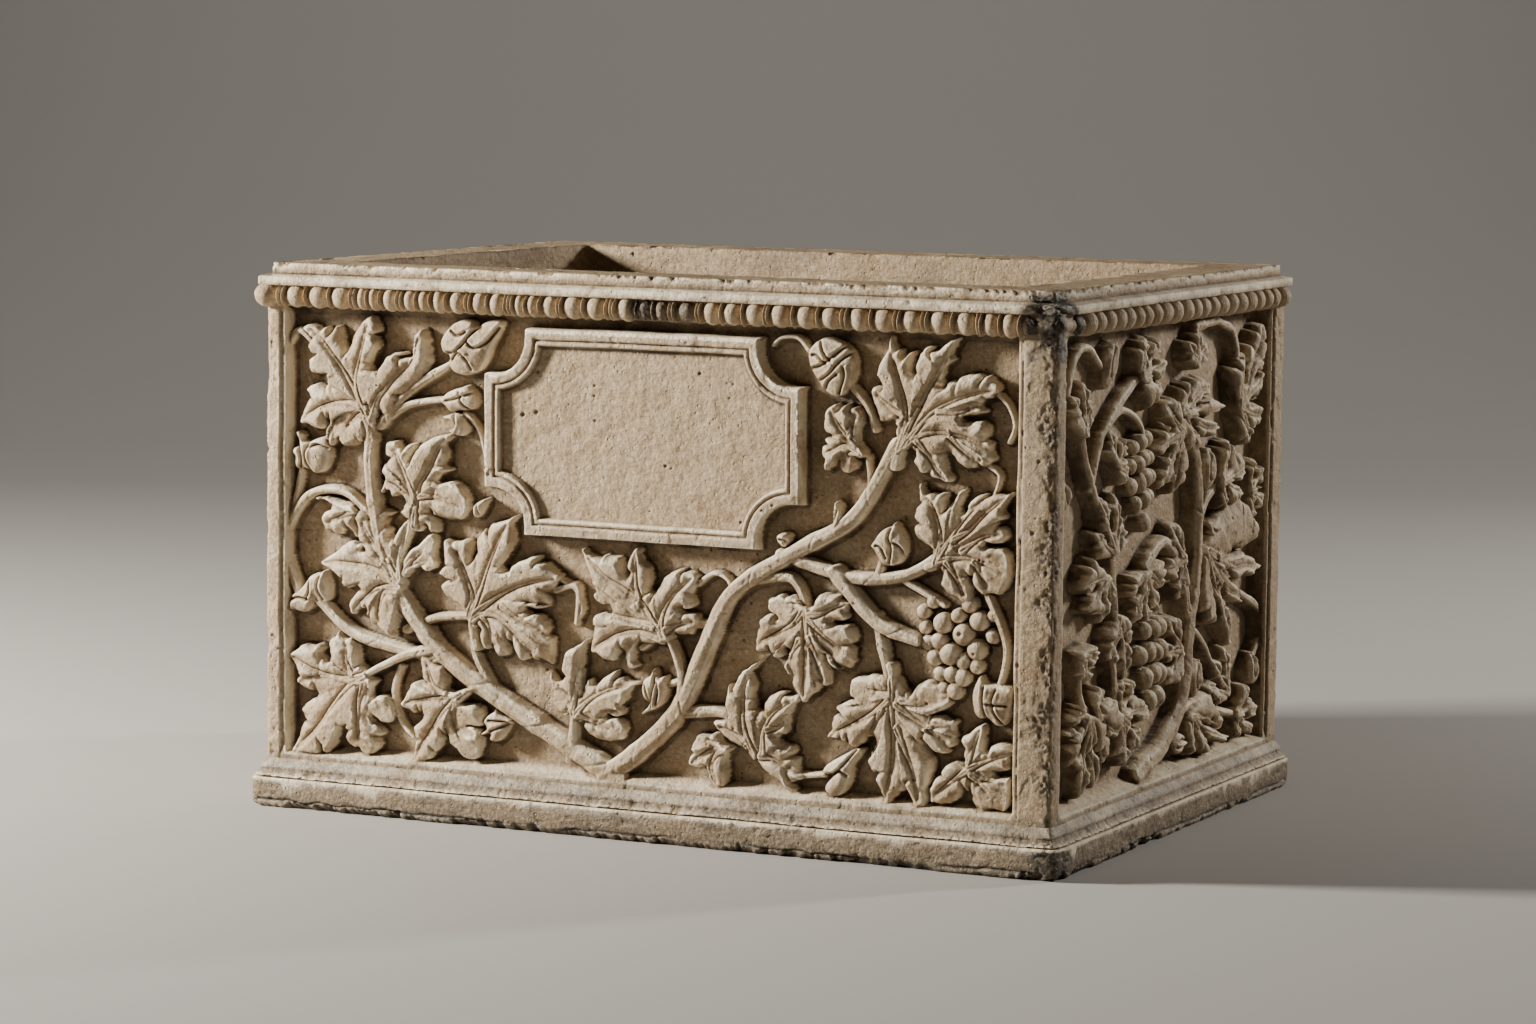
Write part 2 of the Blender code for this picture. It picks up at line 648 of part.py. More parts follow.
def add_boolean(thing, guide, operation, crosses_itself):
    """Exact Boolean of the chest with a guide."""
    modifier = thing.modifiers.new(guide.name, "BOOLEAN")
    modifier.object = guide
    modifier.operation = operation
    modifier.solver = "EXACT"
    modifier.use_self = crosses_itself


def marble():
    """Warm, weathered marble."""
    material = bpy.data.materials.new("marble")
    material.use_nodes = True
    shader = material.node_tree.nodes["Principled BSDF"]
    shader.inputs["Base Color"].default_value = (0.60, 0.50, 0.40, 1.0)
    shader.inputs["Roughness"].default_value = 0.75
    shader.inputs["Metallic"].default_value = 0.0
    return material


chest = new_object("ash_chest", chest_block())
chest.data.materials.append(marble())
add_boolean(chest, guide_object("sunk_panels", panel_cutters()), "DIFFERENCE", False)
add_boolean(chest, guide_object("relief", carving()), "UNION", True)
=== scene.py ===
import math

import bpy
import numpy as np
from mathutils import Matrix, Vector


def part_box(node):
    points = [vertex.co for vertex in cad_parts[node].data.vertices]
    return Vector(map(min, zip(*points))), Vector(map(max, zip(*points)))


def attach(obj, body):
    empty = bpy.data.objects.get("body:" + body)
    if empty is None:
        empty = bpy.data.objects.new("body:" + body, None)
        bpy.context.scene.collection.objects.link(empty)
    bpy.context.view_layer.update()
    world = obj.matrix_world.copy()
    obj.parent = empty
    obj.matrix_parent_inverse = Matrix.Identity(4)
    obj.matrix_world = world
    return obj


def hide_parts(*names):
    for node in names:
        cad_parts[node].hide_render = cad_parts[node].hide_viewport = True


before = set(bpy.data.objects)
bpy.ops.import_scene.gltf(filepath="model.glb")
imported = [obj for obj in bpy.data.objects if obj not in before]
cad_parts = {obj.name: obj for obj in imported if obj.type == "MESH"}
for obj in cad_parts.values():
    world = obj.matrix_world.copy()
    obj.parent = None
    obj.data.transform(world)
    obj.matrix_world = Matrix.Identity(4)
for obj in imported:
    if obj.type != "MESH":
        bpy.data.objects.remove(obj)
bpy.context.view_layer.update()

# Camera
# It stands a little above the rim and to the right of the front, so that the hollow and the right
# side are both seen.
EYE = Vector((1.0570, -2.2025, 0.4085))
YAW, PITCH, ROLL = 0.4508, -0.1043, -0.0113


def add_object(name, data):
    """A new object in the scene."""
    thing = bpy.data.objects.new(name, data)
    bpy.context.scene.collection.objects.link(thing)
    return thing


forward = Vector((-math.sin(YAW) * math.cos(PITCH), math.cos(YAW) * math.cos(PITCH), math.sin(PITCH)))
level_right = Vector((math.cos(YAW), math.sin(YAW), 0.0))
level_down = forward.cross(level_right)
view_right = math.cos(ROLL) * level_right + math.sin(ROLL) * level_down
view_down = -math.sin(ROLL) * level_right + math.cos(ROLL) * level_down
lens = bpy.data.cameras.new("camera")
lens.sensor_width = 36.0
lens.lens = 107.54
lens.clip_start, lens.clip_end = 0.05, 60.0
camera = add_object("camera", lens)
turned = Matrix((view_right, -view_down, -forward)).transposed().to_4x4()
camera.matrix_world = Matrix.Translation(EYE) @ turned
bpy.context.scene.camera = camera

# The carved front
# One face of the marble block, with its two pilasters, the framed tablet that was never lettered
# and the vine. It is cut into a sunk ground 12 mm deep, the leaves left standing. Lengths are in
# millimetres, along the face from its left end and up, and MM turns them into metres.
MM = 0.001
CELL = 0.5
MOST_TRIANGLES = 185000
low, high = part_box("ash_chest")
PLINTH_PROJECTION = 6.75
WIDTH = (high.x - low.x) / MM - 2 * PLINTH_PROJECTION
DEPTH = (high.y - low.y) / MM - 2 * PLINTH_PROJECTION
HEIGHT = high.z / MM
GROUND_FOOT, GROUND_TOP = 28.7, 260.0
SHEET_FOOT, SHEET_TOP = 23.6, 274.9
PANEL_DEPTH = 12.0
FILLET_WIDTH, FILLET_STEP = 2.5, 1.4
BEAD_MIDDLE, STRING_RADIUS = 269.0, 3.0
LEAF_RISE, BUD_RISE = 9.6, 10.6
NODE_SPACING = 39.0
SKIRT_IN, SKIRT_DOWN = 1.5, 7.5
NEAR_REACH, WIDE_REACH = 1.1, 7.0


def drift(x, y, size, seed):
    """Smooth random values from -1 to 1, which change over about this many millimetres."""
    table = np.random.default_rng(seed).uniform(-1.0, 1.0, (128, 128))
    x, y = np.asarray(x) / size, np.asarray(y) / size
    i, j = np.floor(x).astype(int), np.floor(y).astype(int)
    fx, fy = x - i, y - j
    fx, fy = fx * fx * (3 - 2 * fx), fy * fy * (3 - 2 * fy)
    i, j, k, m = i % 128, j % 128, (i + 1) % 128, (j + 1) % 128
    near = table[i, j] * (1 - fx) + table[k, j] * fx
    far = table[i, m] * (1 - fx) + table[k, m] * fx
    return near * (1 - fy) + far * fy


def rough(x, y, size, seed):
    """Like drift, with finer and weaker layers added."""
    return (drift(x, y, size, seed) + 0.5 * drift(x, y, size / 2.1, seed + 1)
            + 0.25 * drift(x, y, size / 4.3, seed + 2)) / 1.5


def blotches(x, y, broad, fine, seed):
    """Uneven patches of these two sizes, for dirt and soot."""
    return drift(x, y, broad, seed) + 0.6 * drift(x, y, fine, seed + 1)


def blend_in(value, start, end):
    """0 before start, 1 after end, and an even bend between them."""
    t = np.clip((value - start) / (end - start), 0.0, 1.0)
    return t * t * (3 - 2 * t)


def soften(grid, cells):
    """The grid smoothed over about this many cells."""
    width = max(1, int(round(cells)))
    for axis in (0, 0, 1, 1):
        around = [(0, 0), (0, 0)]
        around[axis] = (width, width)
        total = np.cumsum(np.pad(grid, around, "edge"), axis)
        ends = np.arange(2 * width, total.shape[axis])
        grid = (np.take(total, ends, axis) - np.take(total, ends - 2 * width, axis)) / (2 * width)
    return grid


class CarvedFace:
    """Height of one carved face, in millimetres out from its pilasters, on a fine grid."""

    def __init__(self, length, left, right, depth, seed, cell=CELL, roll=STRING_RADIUS, freehand=1.0):
        self.length, self.depth, self.seed, self.cell, self.roll = length, depth, seed, cell, roll
        along = np.linspace(0.0, length, round(length / cell) + 1)
        up = np.linspace(SHEET_FOOT, SHEET_TOP, round((SHEET_TOP - SHEET_FOOT) / cell) + 1)
        self.step_s, self.step_z = along[1], up[1] - up[0]
        self.s, self.z = np.meshgrid(along, up)
        s, z = self.s, self.z
        self.drawn_s = s + freehand * (0.7 * drift(s, z, 9, seed) + 1.2 * drift(s, z, 31, seed + 1))
        self.drawn_z = z + freehand * (0.7 * drift(s, z, 9, seed + 2) + 1.2 * drift(s, z, 31, seed + 3))
        self.ground = -depth + 0.5 * rough(s, z, 17, seed + 4) + 0.15 * rough(s, z, 4, seed + 6)
        self.height = self.mouldings(left, right)
        self.stain = np.zeros_like(s)

    def mouldings(self, left, right):
        """Pilasters with their grooves and fillets, the sill, the cornice and the bead string."""
        s, z = self.s, self.z
        sway = 0.35 * drift(s * 0, z, 17, self.seed + 5)
        across = np.minimum(s - left + sway, self.length - right - s - sway)
        groove = np.exp(-((across + 0.3) / 0.55) ** 2)
        fillet = np.clip(across / FILLET_WIDTH, 0, 1)
        pilaster = 0.25 * rough(s, z, 7, self.seed + 6) - 1.5 * groove
        bead = -FILLET_STEP - 0.5 * (2 * fillet - 1) ** 2 + 0.12 * rough(s, z, 5, self.seed + 7)
        sunk = blend_in(across, FILLET_WIDTH - 0.2, FILLET_WIDTH + 1.6)
        base = np.where(across < 0, pilaster, bead * (1 - sunk) + self.ground * sunk)
        sill = -0.5 - 0.3 * blend_in(z, 27.2, 28.9) + 0.2 * rough(s, z, 11, self.seed + 8)
        uneven_z = z + 0.5 * drift(s, z, 23, self.seed + 9)
        scoop = blend_in(uneven_z, GROUND_FOOT - 0.4, GROUND_FOOT + 4.6) ** 0.75
        lower = sill * (1 - scoop) + base * scoop
        base = np.where((across > -0.2) & (z < GROUND_FOOT + 6), np.maximum(base, lower), base)
        base = np.where(z < GROUND_FOOT - 0.4, np.maximum(base, sill), base)
        t = np.clip((z - GROUND_TOP + 0.6) / 4.4, 0.0, 1.0)
        cove = 1 - np.sqrt(np.clip(1 - t * t, 0.0, 1.0))
        base = base * (1 - cove)
        string = self.roll ** 2 - (z - BEAD_MIDDLE) ** 2
        base = np.where(string > 0, np.maximum(base, -0.8 + np.sqrt(np.clip(string, 0, None))), base)
        return base

    def window(self, low_s, low_z, high_s, high_z):
        """The part of the grid inside a rectangle."""
        i = max(0, int((low_z - SHEET_FOOT) / self.step_z))
        k = max(i + 1, min(self.s.shape[0], int((high_z - SHEET_FOOT) / self.step_z) + 2))
        j = max(0, int(low_s / self.step_s))
        m = max(j + 1, min(self.s.shape[1], int(high_s / self.step_s) + 2))
        return slice(i, k), slice(j, m)

    def stand(self, window, top, inside, edge, outside=0.35):
        """Leaves stone standing to this top, inside a rounded edge that starts a little outside."""
        t = np.clip((inside + outside) / edge, 0.0, 1.0)
        raised = self.ground[window] + top * np.sqrt(1 - (1 - t) ** 2)
        self.height[window] = np.where(t > 0, np.maximum(self.height[window], raised), self.height[window])


def smooth_path(points, step, closed=False):
    """Points about one step apart on a smooth curve through the given ones."""
    points = [np.array(p, float) for p in points]
    last = len(points) if closed else len(points) - 1
    path = []
    for i in range(last):
        start, end = points[i], points[(i + 1) % len(points)]
        before = points[i - 1] if closed or i > 0 else start
        after = points[(i + 2) % len(points)] if closed or i + 2 < len(points) else end
        count = max(1, int(round(np.hypot(*(end - start)) / step)))
        for k in range(count):
            t = k / count
            path.append(0.5 * (2 * start + (end - before) * t
                               + (2 * before - 5 * start + 4 * end - after) * t ** 2
                               + (3 * start - before - 3 * end + after) * t ** 3))
    if not closed:
        path.append(points[-1])
    return np.array(path)


def inside_of(outline, s, z):
    """Distance to a closed outline, positive inside it."""
    nearest = np.full(s.shape, 1e9)
    inside = np.zeros(s.shape, bool)
    for (s0, z0), (s1, z1) in zip(outline, np.roll(outline, -1, 0)):
        ds, dz = s1 - s0, z1 - z0
        t = np.clip(((s - s0) * ds + (z - z0) * dz) / max(ds * ds + dz * dz, 1e-9), 0, 1)
        nearest = np.minimum(nearest, (s - s0 - t * ds) ** 2 + (z - z0 - t * dz) ** 2)
        if z0 != z1:
            inside ^= ((z0 > z) != (z1 > z)) & (s < s0 + (z - z0) * ds / dz)
    return np.sqrt(nearest) * np.where(inside, 1, -1)


def along_path(path, s, z, reach=1e6):
    """Distance from a path, how far to its left, and how far along it the nearest point is."""
    nearest = np.full(s.shape, 1e6)
    side, run = np.zeros(s.shape), np.zeros(s.shape)
    total = 0.0
    for a, b in zip(path[:-1], path[1:]):
        span = max(float(np.hypot(*(b - a))), 1e-6)
        ab = (b - a) / span
        box = ((s > min(a[0], b[0]) - reach) & (s < max(a[0], b[0]) + reach)
               & (z > min(a[1], b[1]) - reach) & (z < max(a[1], b[1]) + reach))
        ds, dz = s[box] - a[0], z[box] - a[1]
        t = np.clip(ds * ab[0] + dz * ab[1], 0, span)
        away = np.hypot(ds - t * ab[0], dz - t * ab[1])
        closer = away < nearest[box]
        nearest[box] = np.where(closer, away, nearest[box])
        side[box] = np.where(closer, -ds * ab[1] + dz * ab[0], side[box])
        run[box] = np.where(closer, total + t, run[box])
        total += span
    return nearest, side, run, total


def rib_foot(paths, point, slant):
    """The point of the nearest rib where a vein to this point of the edge would branch off."""
    best = None
    for path in paths:
        away = np.hypot(*(path - point).T)
        k = int(away.argmin())
        if best is None or away[k] < best[0]:
            best = (away[k], path, k)
    away, path, k = best
    spacing = np.hypot(*(path[-1] - path[0])) / max(len(path) - 1, 1)
    return path[max(0, k - int(round(slant * away / max(spacing, 0.3))))]


def rib_relief(paths, s, z, seed, random):
    """Distance from the nearest rib, the share of its length, the tilt beside it and its height."""
    nearest = np.full(s.shape, 1e6)
    share, lean, rib = np.zeros(s.shape), np.zeros(s.shape), np.zeros(s.shape)
    for path in paths:
        away, side, run, total = along_path(path, s, z)
        tilt = random.uniform(-0.28, 0.28)
        part = run / total
        wide = 0.35 + 1.5 * (1 - part) ** 3
        tall = (0.45 + 1.6 * (1 - part) ** 2.2) * blend_in(part, 1.0, 0.85)
        cut = np.where(side > 0, 0.25, 0.90) * np.exp(-((away - wide - 0.5) / 0.45) ** 2)
        here = tall * np.exp(-(away / wide) ** 4) - cut * blend_in(part, 1.0, 0.8)
        ripple = np.sin((run - 0.9 * away) * 2.5 + 2 * drift(s, z, 6, seed + 904))
        here = here + 0.04 * ripple * blend_in(away, 0.8, 2.5)
        closer = away < nearest
        rib = np.where(closer, here, rib)
        share = np.where(closer, part, share)
        lean = np.where(closer, np.clip(side, -8, 8) * tilt, lean)
        nearest = np.where(closer, away, nearest)
    return nearest, share, lean, rib


def fold_and_vein(top, corners, paths, s, z):
    """Cuts a fold from each notch of the outline towards its rib, and raises a vein to each tooth."""
    before, after = corners - np.roll(corners, 1, 0), np.roll(corners, -1, 0) - corners
    turns = np.arctan2(before[:, 0] * after[:, 1] - before[:, 1] * after[:, 0], (before * after).sum(1))
    last_fold = np.array((-99.0, -99.0))
    for corner, turn in zip(corners, turns):
        if turn < -0.45 and np.hypot(*(corner - last_fold)) > 3.0:
            foot = rib_foot(paths, corner, 0.5)
            length = np.hypot(*(foot - corner))
            if length > 2:
                away, side, run, total = along_path(np.array((corner, corner + 0.85 * (foot - corner))), s, z)
                t = run / total
                deep = 2.0 * (1 - t) ** 0.8 * min(1.0, length / 6)
                top = top - deep * np.exp(-(away / (0.7 + 0.7 * t)) ** 2)
                top = top + 0.30 * deep * np.exp(-((side - 1.9) / 1.0) ** 2) * (away < 4)
            last_fold = corner
        elif turn > 0.5:
            foot = rib_foot(paths, corner, 0.8)
            if np.hypot(*(foot - corner)) > 3:
                away, side, run, total = along_path(np.array((corner, foot)), s, z)
                t = run / total
                top = top + 0.4 * (1 - t) * np.exp(-(away / 1.4) ** 2)
                top = top - 0.2 * np.exp(-(away / 0.42) ** 2) * t ** 0.5
    return top


def roll_down(top, middle, radius, hub, s, z):
    """Curls the lobe round this point down, with a crease on the side of the leaf's hub."""
    way = (middle - hub) / max(np.hypot(*(middle - hub)), 1e-3)
    outward = (s - middle[0]) * way[0] + (z - middle[1]) * way[1]
    away = np.hypot(s - middle[0], z - middle[1])
    ball = LEAF_RISE * 0.62 + 0.30 * radius * np.sqrt(np.clip(1 - (away / (radius * 1.35)) ** 2, 0, 1))
    over = blend_in(outward, -0.7 * radius, 0.3 * radius) * blend_in(away, 1.7 * radius, 1.0 * radius)
    top = top * (1 - over) + np.minimum(top + 0.8, ball + 1.6) * over
    crease = 0.6 * np.exp(-((away - 0.86 * radius) / 0.9) ** 2)
    return top - crease * blend_in(-outward, 0.1 * radius, 0.5 * radius)


def leaf(face, outline, ribs, rolls=(), seed=0, shift=(0.0, 0.0), edge_width=0.6):
    """Vine leaf cut to a drawn outline, with raised ribs and lobes that swell between rib and edge.

    Folds run in from the notches, veins from the teeth, and a roll is a lobe that curls down.
    """
    shift = np.array(shift)
    corners = np.array(outline, float) + shift
    turning = np.sum(corners[:, 0] * np.roll(corners[:, 1], -1) - np.roll(corners[:, 0], -1) * corners[:, 1])
    if turning < 0:
        corners = corners[::-1]
    edge = smooth_path(corners, 1.0, closed=True)
    paths = [smooth_path(np.array(rib, float) + shift, 1.5) for rib in ribs]
    window = face.window(*(edge.min(0) - 3), *(edge.max(0) + 3))
    s, z = face.drawn_s[window], face.drawn_z[window]
    random = np.random.default_rng(seed * 7 + int(corners[0, 0]) * 13)
    inside = inside_of(edge, s, z) + 0.4 * drift(s, z, 2.3, seed + 903)
    from_rib, share, lean, rib = rib_relief(paths, s, z, seed, random)
    wide = from_rib + np.clip(inside, 0, None)
    across = np.clip(from_rib / np.maximum(wide, 0.1), 0, 1)
    swell = np.clip(np.sin(math.pi * across), 0, 1) ** 0.9 - 0.75 * across ** 5
    top = LEAF_RISE - 0.7 + np.minimum(3.0, 0.30 * wide) * swell + lean - 0.9 * blend_in(share, 0.8, 1.05)
    top = fold_and_vein(top, corners, paths, s, z)
    top = top + rib * (inside > 0.3) + 0.07 * drift(s, z, 3.1, seed + 901)
    top = top + (0.5 + 0.9 * across ** 2) * drift(s, z, 8, seed + 900)
    for s0, z0, radius in rolls:
        top = roll_down(top, np.array((s0, z0)) + shift, radius, paths[0][0], s, z)
    face.stand(window, np.clip(top, 2.5, 11.8), inside, edge_width, 0.3)


def bud(face, outline, folds, seed=0, shift=(0.0, 0.0)):
    """Plump bud cut to a drawn outline, its petals parted by deep folds."""
    shift = np.array(shift)
    edge = smooth_path(np.array(outline, float) + shift, 1.0, closed=True)
    window = face.window(*(edge.min(0) - 3), *(edge.max(0) + 3))
    s, z = face.drawn_s[window], face.drawn_z[window]
    inside = inside_of(edge, s, z)
    belly = np.sqrt(1 - (1 - np.clip(inside / max(float(inside.max()), 1.0), 0, 1)) ** 2)
    top = BUD_RISE * (0.60 + 0.40 * belly) + 0.3 * drift(s, z, 6, seed + 950)
    for fold in folds:
        away, side, run, total = along_path(smooth_path(np.array(fold, float) + shift, 1.5), s, z)
        ends = blend_in(run / total, 0.0, 0.12)
        lip = np.exp(-((side - 1.7) / 1.0) ** 2) * (away < 5)
        top = top - 2.3 * ends * np.exp(-(away / 0.7) ** 2) + 0.7 * ends * lip
    face.stand(window, np.clip(top, 2.0, 11.9), inside, 0.9)


def stem(face, foot, end, points, seed=0, rise=None, shift=(0.0, 0.0)):
    """Round stem with bark lines and swollen nodes, thinning from its foot to its end."""
    path = smooth_path(np.array(points, float) + np.array(shift), 1.6)
    reach = foot * 0.75 + 2.0
    window = face.window(*(path.min(0) - reach), *(path.max(0) + reach))
    s, z = face.drawn_s[window], face.drawn_z[window]
    nearest, side, run, total = along_path(path, s, z, reach)
    radius = 0.5 * (foot + (end - foot) * (run / max(total, 1.0)))
    if rise is None:
        rise = 4.2 + 0.62 * foot
    rise = min(rise, 10.4)
    from_node = (((run + 17 * ((seed * 0.37) % 1)) / NODE_SPACING) % 1.0 - 0.5) * NODE_SPACING
    swell = np.exp(-(from_node / 4.0) ** 2) * (foot > 5)
    radius = radius * (1 + 0.10 * swell) * (1 + 0.06 * drift(run, run * 0, 12, seed + 3))
    across = side / radius
    round_top = radius * (1 - np.sqrt(np.clip(1 - across * across, 0, 1))) * 0.95
    bark = 0.20 * np.cos(across * 7.0 + run * 0.07 + seed) + 0.22 * drift(run, across * 6, 9, seed + 5)
    sheath = np.exp(-((from_node - 1.2 * side) / 0.7) ** 2) * 0.5 * (foot > 5)
    top = rise - round_top + bark * min(1.0, foot / 8) + 0.5 * swell - sheath
    face.stand(window, top, radius - nearest, 0.9)


def berry(face, s0, z0, radius, lift):
    """One grape."""
    window = face.window(s0 - radius - 2, z0 - radius - 2, s0 + radius + 2, z0 + radius + 2)
    s, z = face.drawn_s[window] - s0, face.drawn_z[window] - z0
    away = np.hypot(s, z) / radius
    dome = np.sqrt(np.clip(1 - away ** 2, 0, 1)) * radius
    raised = face.ground[window] + np.where(away < 1.0, lift + dome, 0)
    face.height[window] = np.maximum(face.height[window], raised)


def tablet(face, middle, top, width, height):
    """Framed blank tablet: each corner is a hollow quarter circle between two square ears."""
    ear, cove = 5.0, 18.5
    frame_width, frame_rise, field_rise = 6.2, 11.5, 7.5
    ear_s, ear_z = width / 2 - ear, height / 2 - ear
    outline = []
    for across, up in ((1, 1), (-1, 1), (-1, -1), (1, -1)):
        corner = [(width / 2, ear_z - cove), (ear_s, ear_z - cove)]
        corner += [(ear_s - cove * math.sin(a), ear_z - cove * math.cos(a))
                   for a in np.linspace(0, math.pi / 2, 9)][1:-1]
        corner += [(ear_s - cove, ear_z), (ear_s - cove, height / 2)]
        if across * up < 0:
            corner = corner[::-1]
        outline += [(middle + across * p, top - height / 2 + up * r) for p, r in corner]
    window = face.window(middle - width / 2 - 3, top - height - 3, middle + width / 2 + 3, top + 3)
    s = face.s[window] + 0.25 * drift(face.s[window], face.z[window], 21, 71)
    z = face.z[window] + 0.25 * drift(face.s[window], face.z[window], 21, 72)
    inside = inside_of(np.array(outline), s, z)
    field = field_rise + (0.28 * rough(s, z, 13, 75) + 0.16 * rough(s, z, 4.3, 78))
    frame_top = frame_rise + 0.15 * rough(s, z, 9, 79)
    groove = 1.8 * np.exp(-((inside - frame_width + 0.5) / 0.5) ** 2)
    fillet = np.clip((inside - frame_width) / 2.2, 0, 1)
    drop = blend_in(inside, frame_width + 2.0, frame_width + 3.0)
    bead = frame_top - 0.3 - 0.5 * (2 * fillet - 1) ** 2
    level = np.where(inside < frame_width, frame_top - groove, bead)
    level = level * (1 - drop) + field * drop
    t = np.clip((inside + 0.3) / 0.9, 0.0, 1.0)
    raised = -face.depth + level * np.sqrt(1 - (1 - t) ** 2)
    around = np.where(inside > -0.3, np.maximum(raised, face.height[window]), face.height[window])
    face.height[window] = np.where(inside > 0.8, raised, around)


def weather(face, pits, seed):
    """Small pits, flaked high spots and the grain of the worn surface."""
    random = np.random.default_rng(seed)
    for _ in range(pits):
        s0, z0 = random.uniform(3, face.length - 3), random.uniform(30, 262)
        radius, deep = random.uniform(0.4, 1.3), random.uniform(0.3, 1.2)
        window = face.window(s0 - 3, z0 - 3, s0 + 3, z0 + 3)
        away = np.hypot(face.s[window] - s0, face.z[window] - z0) / radius
        face.height[window] -= deep * np.exp(-away ** 4)
    s, z = face.s, face.z
    high_spots = blend_in(face.height, -4.5, -1.5)
    flakes = blend_in(rough(s, z, 12, seed + 11), 0.30, 0.40) * 0.4
    face.height -= high_spots * flakes
    grain = 0.13 * rough(s, z, 2.8, seed + 14) + 0.07 * drift(s, z, 1.3, seed + 15)
    face.height += (1 - 0.5 * high_spots) * grain


def crumble(face, from_corner, reach, deep, seed):
    """Breaks the surface up beside a corner of the block, more in some places than in others."""
    s, z = face.s, face.z
    wear = blend_in(from_corner + 5 * drift(z, s * 0, 9, seed) + 2.5 * drift(s, z, 3.4, seed + 1), reach, 0)
    bites = 0.5 + 0.9 * np.abs(rough(s * 1.6, z, 5, seed + 2)) + 0.5 * drift(s, z, 1.7, seed + 3)
    face.height -= deep * wear * bites
    return wear


def corner_radius(z, corner):
    """How far each corner of the block is worn round at this height."""
    worn = {"front_left": (1.5, 0.8, 301), "front_right": (2.2, 1.8, 311),
            "back_left": (1.6, 0.9, 321), "back_right": (1.5, 0.9, 331)}
    base, spread, seed = worn[corner]
    radius = base + spread * np.abs(rough(z, z * 0, 15, seed)) * 1.6
    radius = radius + blend_in(rough(z, z * 0 + 50, 11, seed + 5), 0.28, 0.5) * spread * 1.6
    if corner == "front_left":
        radius = radius + 2.6 * np.exp(-((z - 188) / 1.8) ** 2) + 1.6 * blend_in(z, 222, 230)
    return np.clip(radius, 0.9, 7.0)


def face_points(face, near_corner, far_corner):
    """Where each point of a face lies: along it, out from it and up, with the corners worn round."""
    s, z, out = face.s.copy(), face.z, face.height.copy()
    for corner, from_corner in ((near_corner, face.s), (far_corner, face.length - face.s)):
        radius = corner_radius(face.z, corner)
        t = np.clip(from_corner / radius, 0, 1)
        turn = (1 - t) * math.pi / 4
        place = np.where(from_corner < radius, radius - radius * np.sin(turn), from_corner)
        drop = np.where(from_corner < radius, radius * (1 - np.cos(turn)), 0.0)
        moved = place - from_corner
        s = s + (moved if corner == near_corner else -moved)
        out = out - drop
    return s, out, z


def dirt_and_shade_depths(face):
    """How deep each point lies below the stone near it and farther round it, in millimetres, for dirt and
    painted shade.
    """
    height = np.clip(face.height, -face.depth - 1, 3)
    near = soften(height, NEAR_REACH / face.cell) - height
    wide = soften(height, WIDE_REACH / face.cell) - height
    slope = np.hypot(*np.gradient(height, face.cell))
    # Steep walls below the leaf tops count as deeper, so the marble paints shade on them.
    painted_wall_shade = blend_in(slope, 1.5, 4.0) * blend_in(height, -2.0, -4.5)
    return near + 0.75 * painted_wall_shade, wide


def skirted(grid, first=0.0, last=0.0):
    """The grid with its first and last columns repeated, and moved by this much."""
    return np.concatenate([grid[:, :1] + first, grid, grid[:, -1:] + last], axis=1)


def face_mesh(name, face, corners, place, flip, target, part=(0.0, 1.0)):
    """The finished face, or a part of its length, with fewer triangles where the stone is flat.

    A part that ends inside the face dips a tenth of a millimetre there, under the start of the next.
    """
    s, out, z = face_points(face, *corners)
    if part[1] < 1:
        end = part[1] * face.length
        out = out - 0.1 * blend_in(face.s, end - 5.0, end - 2.0)
    near, wide = dirt_and_shade_depths(face)
    # Less dirt and painted shade on the string and the cove under the beads.
    fainter_dirt_and_shade = 1 - 0.7 * blend_in(face.z, GROUND_TOP + 1.5, GROUND_TOP + 5.0)
    x, y = place(skirted(s, SKIRT_IN, -SKIRT_IN), skirted(out, -SKIRT_DOWN, -SKIRT_DOWN))
    columns = slice(int(part[0] * x.shape[1]), int(math.ceil(part[1] * x.shape[1])))
    points = np.stack([x, y, skirted(z)], axis=-1)[:, columns] * MM
    # The fields carry dirt and painted shade in crevices, on walls and in the sunk ground, and real stains.
    fields = {"hollow": near * fainter_dirt_and_shade, "recess": wide * fainter_dirt_and_shade, "level": face.height, "stain": face.stain}
    fields = {key: skirted(grid)[:, columns] for key, grid in fields.items()}
    return grid_mesh(name, points, flip, fields, target)


def apply_modifiers(thing):
    """The object's mesh as its modifiers leave it, in place of both."""
    result = bpy.data.meshes.new_from_object(thing.evaluated_get(bpy.context.evaluated_depsgraph_get()))
    thing.modifiers.clear()
    thing.data = result
    result.name = thing.name
    return result


def store_fields(mesh, fields):
    """Gives every point of the mesh its value of each field."""
    for field, values in fields.items():
        layer = mesh.attributes.new(field, "FLOAT", "POINT")
        layer.data.foreach_set("value", values.reshape(-1).astype(np.float32))


def grid_mesh(name, points, flip, fields, target, closed=False):
    """A mesh from rows of points, with a value of each field at every point."""
    rows, columns = points.shape[:2]
    index = np.arange(rows * columns).reshape(rows, columns)
    if closed:
        index = np.concatenate([index, index[:, :1]], axis=1)
    a, b, c, d = index[:-1, :-1], index[:-1, 1:], index[1:, 1:], index[1:, :-1]
    quads = np.stack([a, d, c, b] if flip else [a, b, c, d], axis=-1).reshape(-1, 4)
    mesh = bpy.data.meshes.new(name)
    mesh.vertices.add(rows * columns)
    mesh.vertices.foreach_set("co", points.reshape(-1).astype(np.float32))
    mesh.loops.add(quads.size)
    mesh.loops.foreach_set("vertex_index", quads.reshape(-1).astype(np.int32))
    mesh.polygons.add(len(quads))
    mesh.polygons.foreach_set("loop_start", np.arange(0, quads.size, 4, dtype=np.int32))
    mesh.polygons.foreach_set("loop_total", np.full(len(quads), 4, dtype=np.int32))
    store_fields(mesh, fields)
    mesh.update()
    mesh.validate()
    thing = add_object(name, mesh)
    if 2 * len(quads) > target:
        thing.modifiers.new("fewer", "DECIMATE").ratio = target / (2 * len(quads))
        apply_modifiers(thing)
    thing.data.shade_smooth()
    return thing


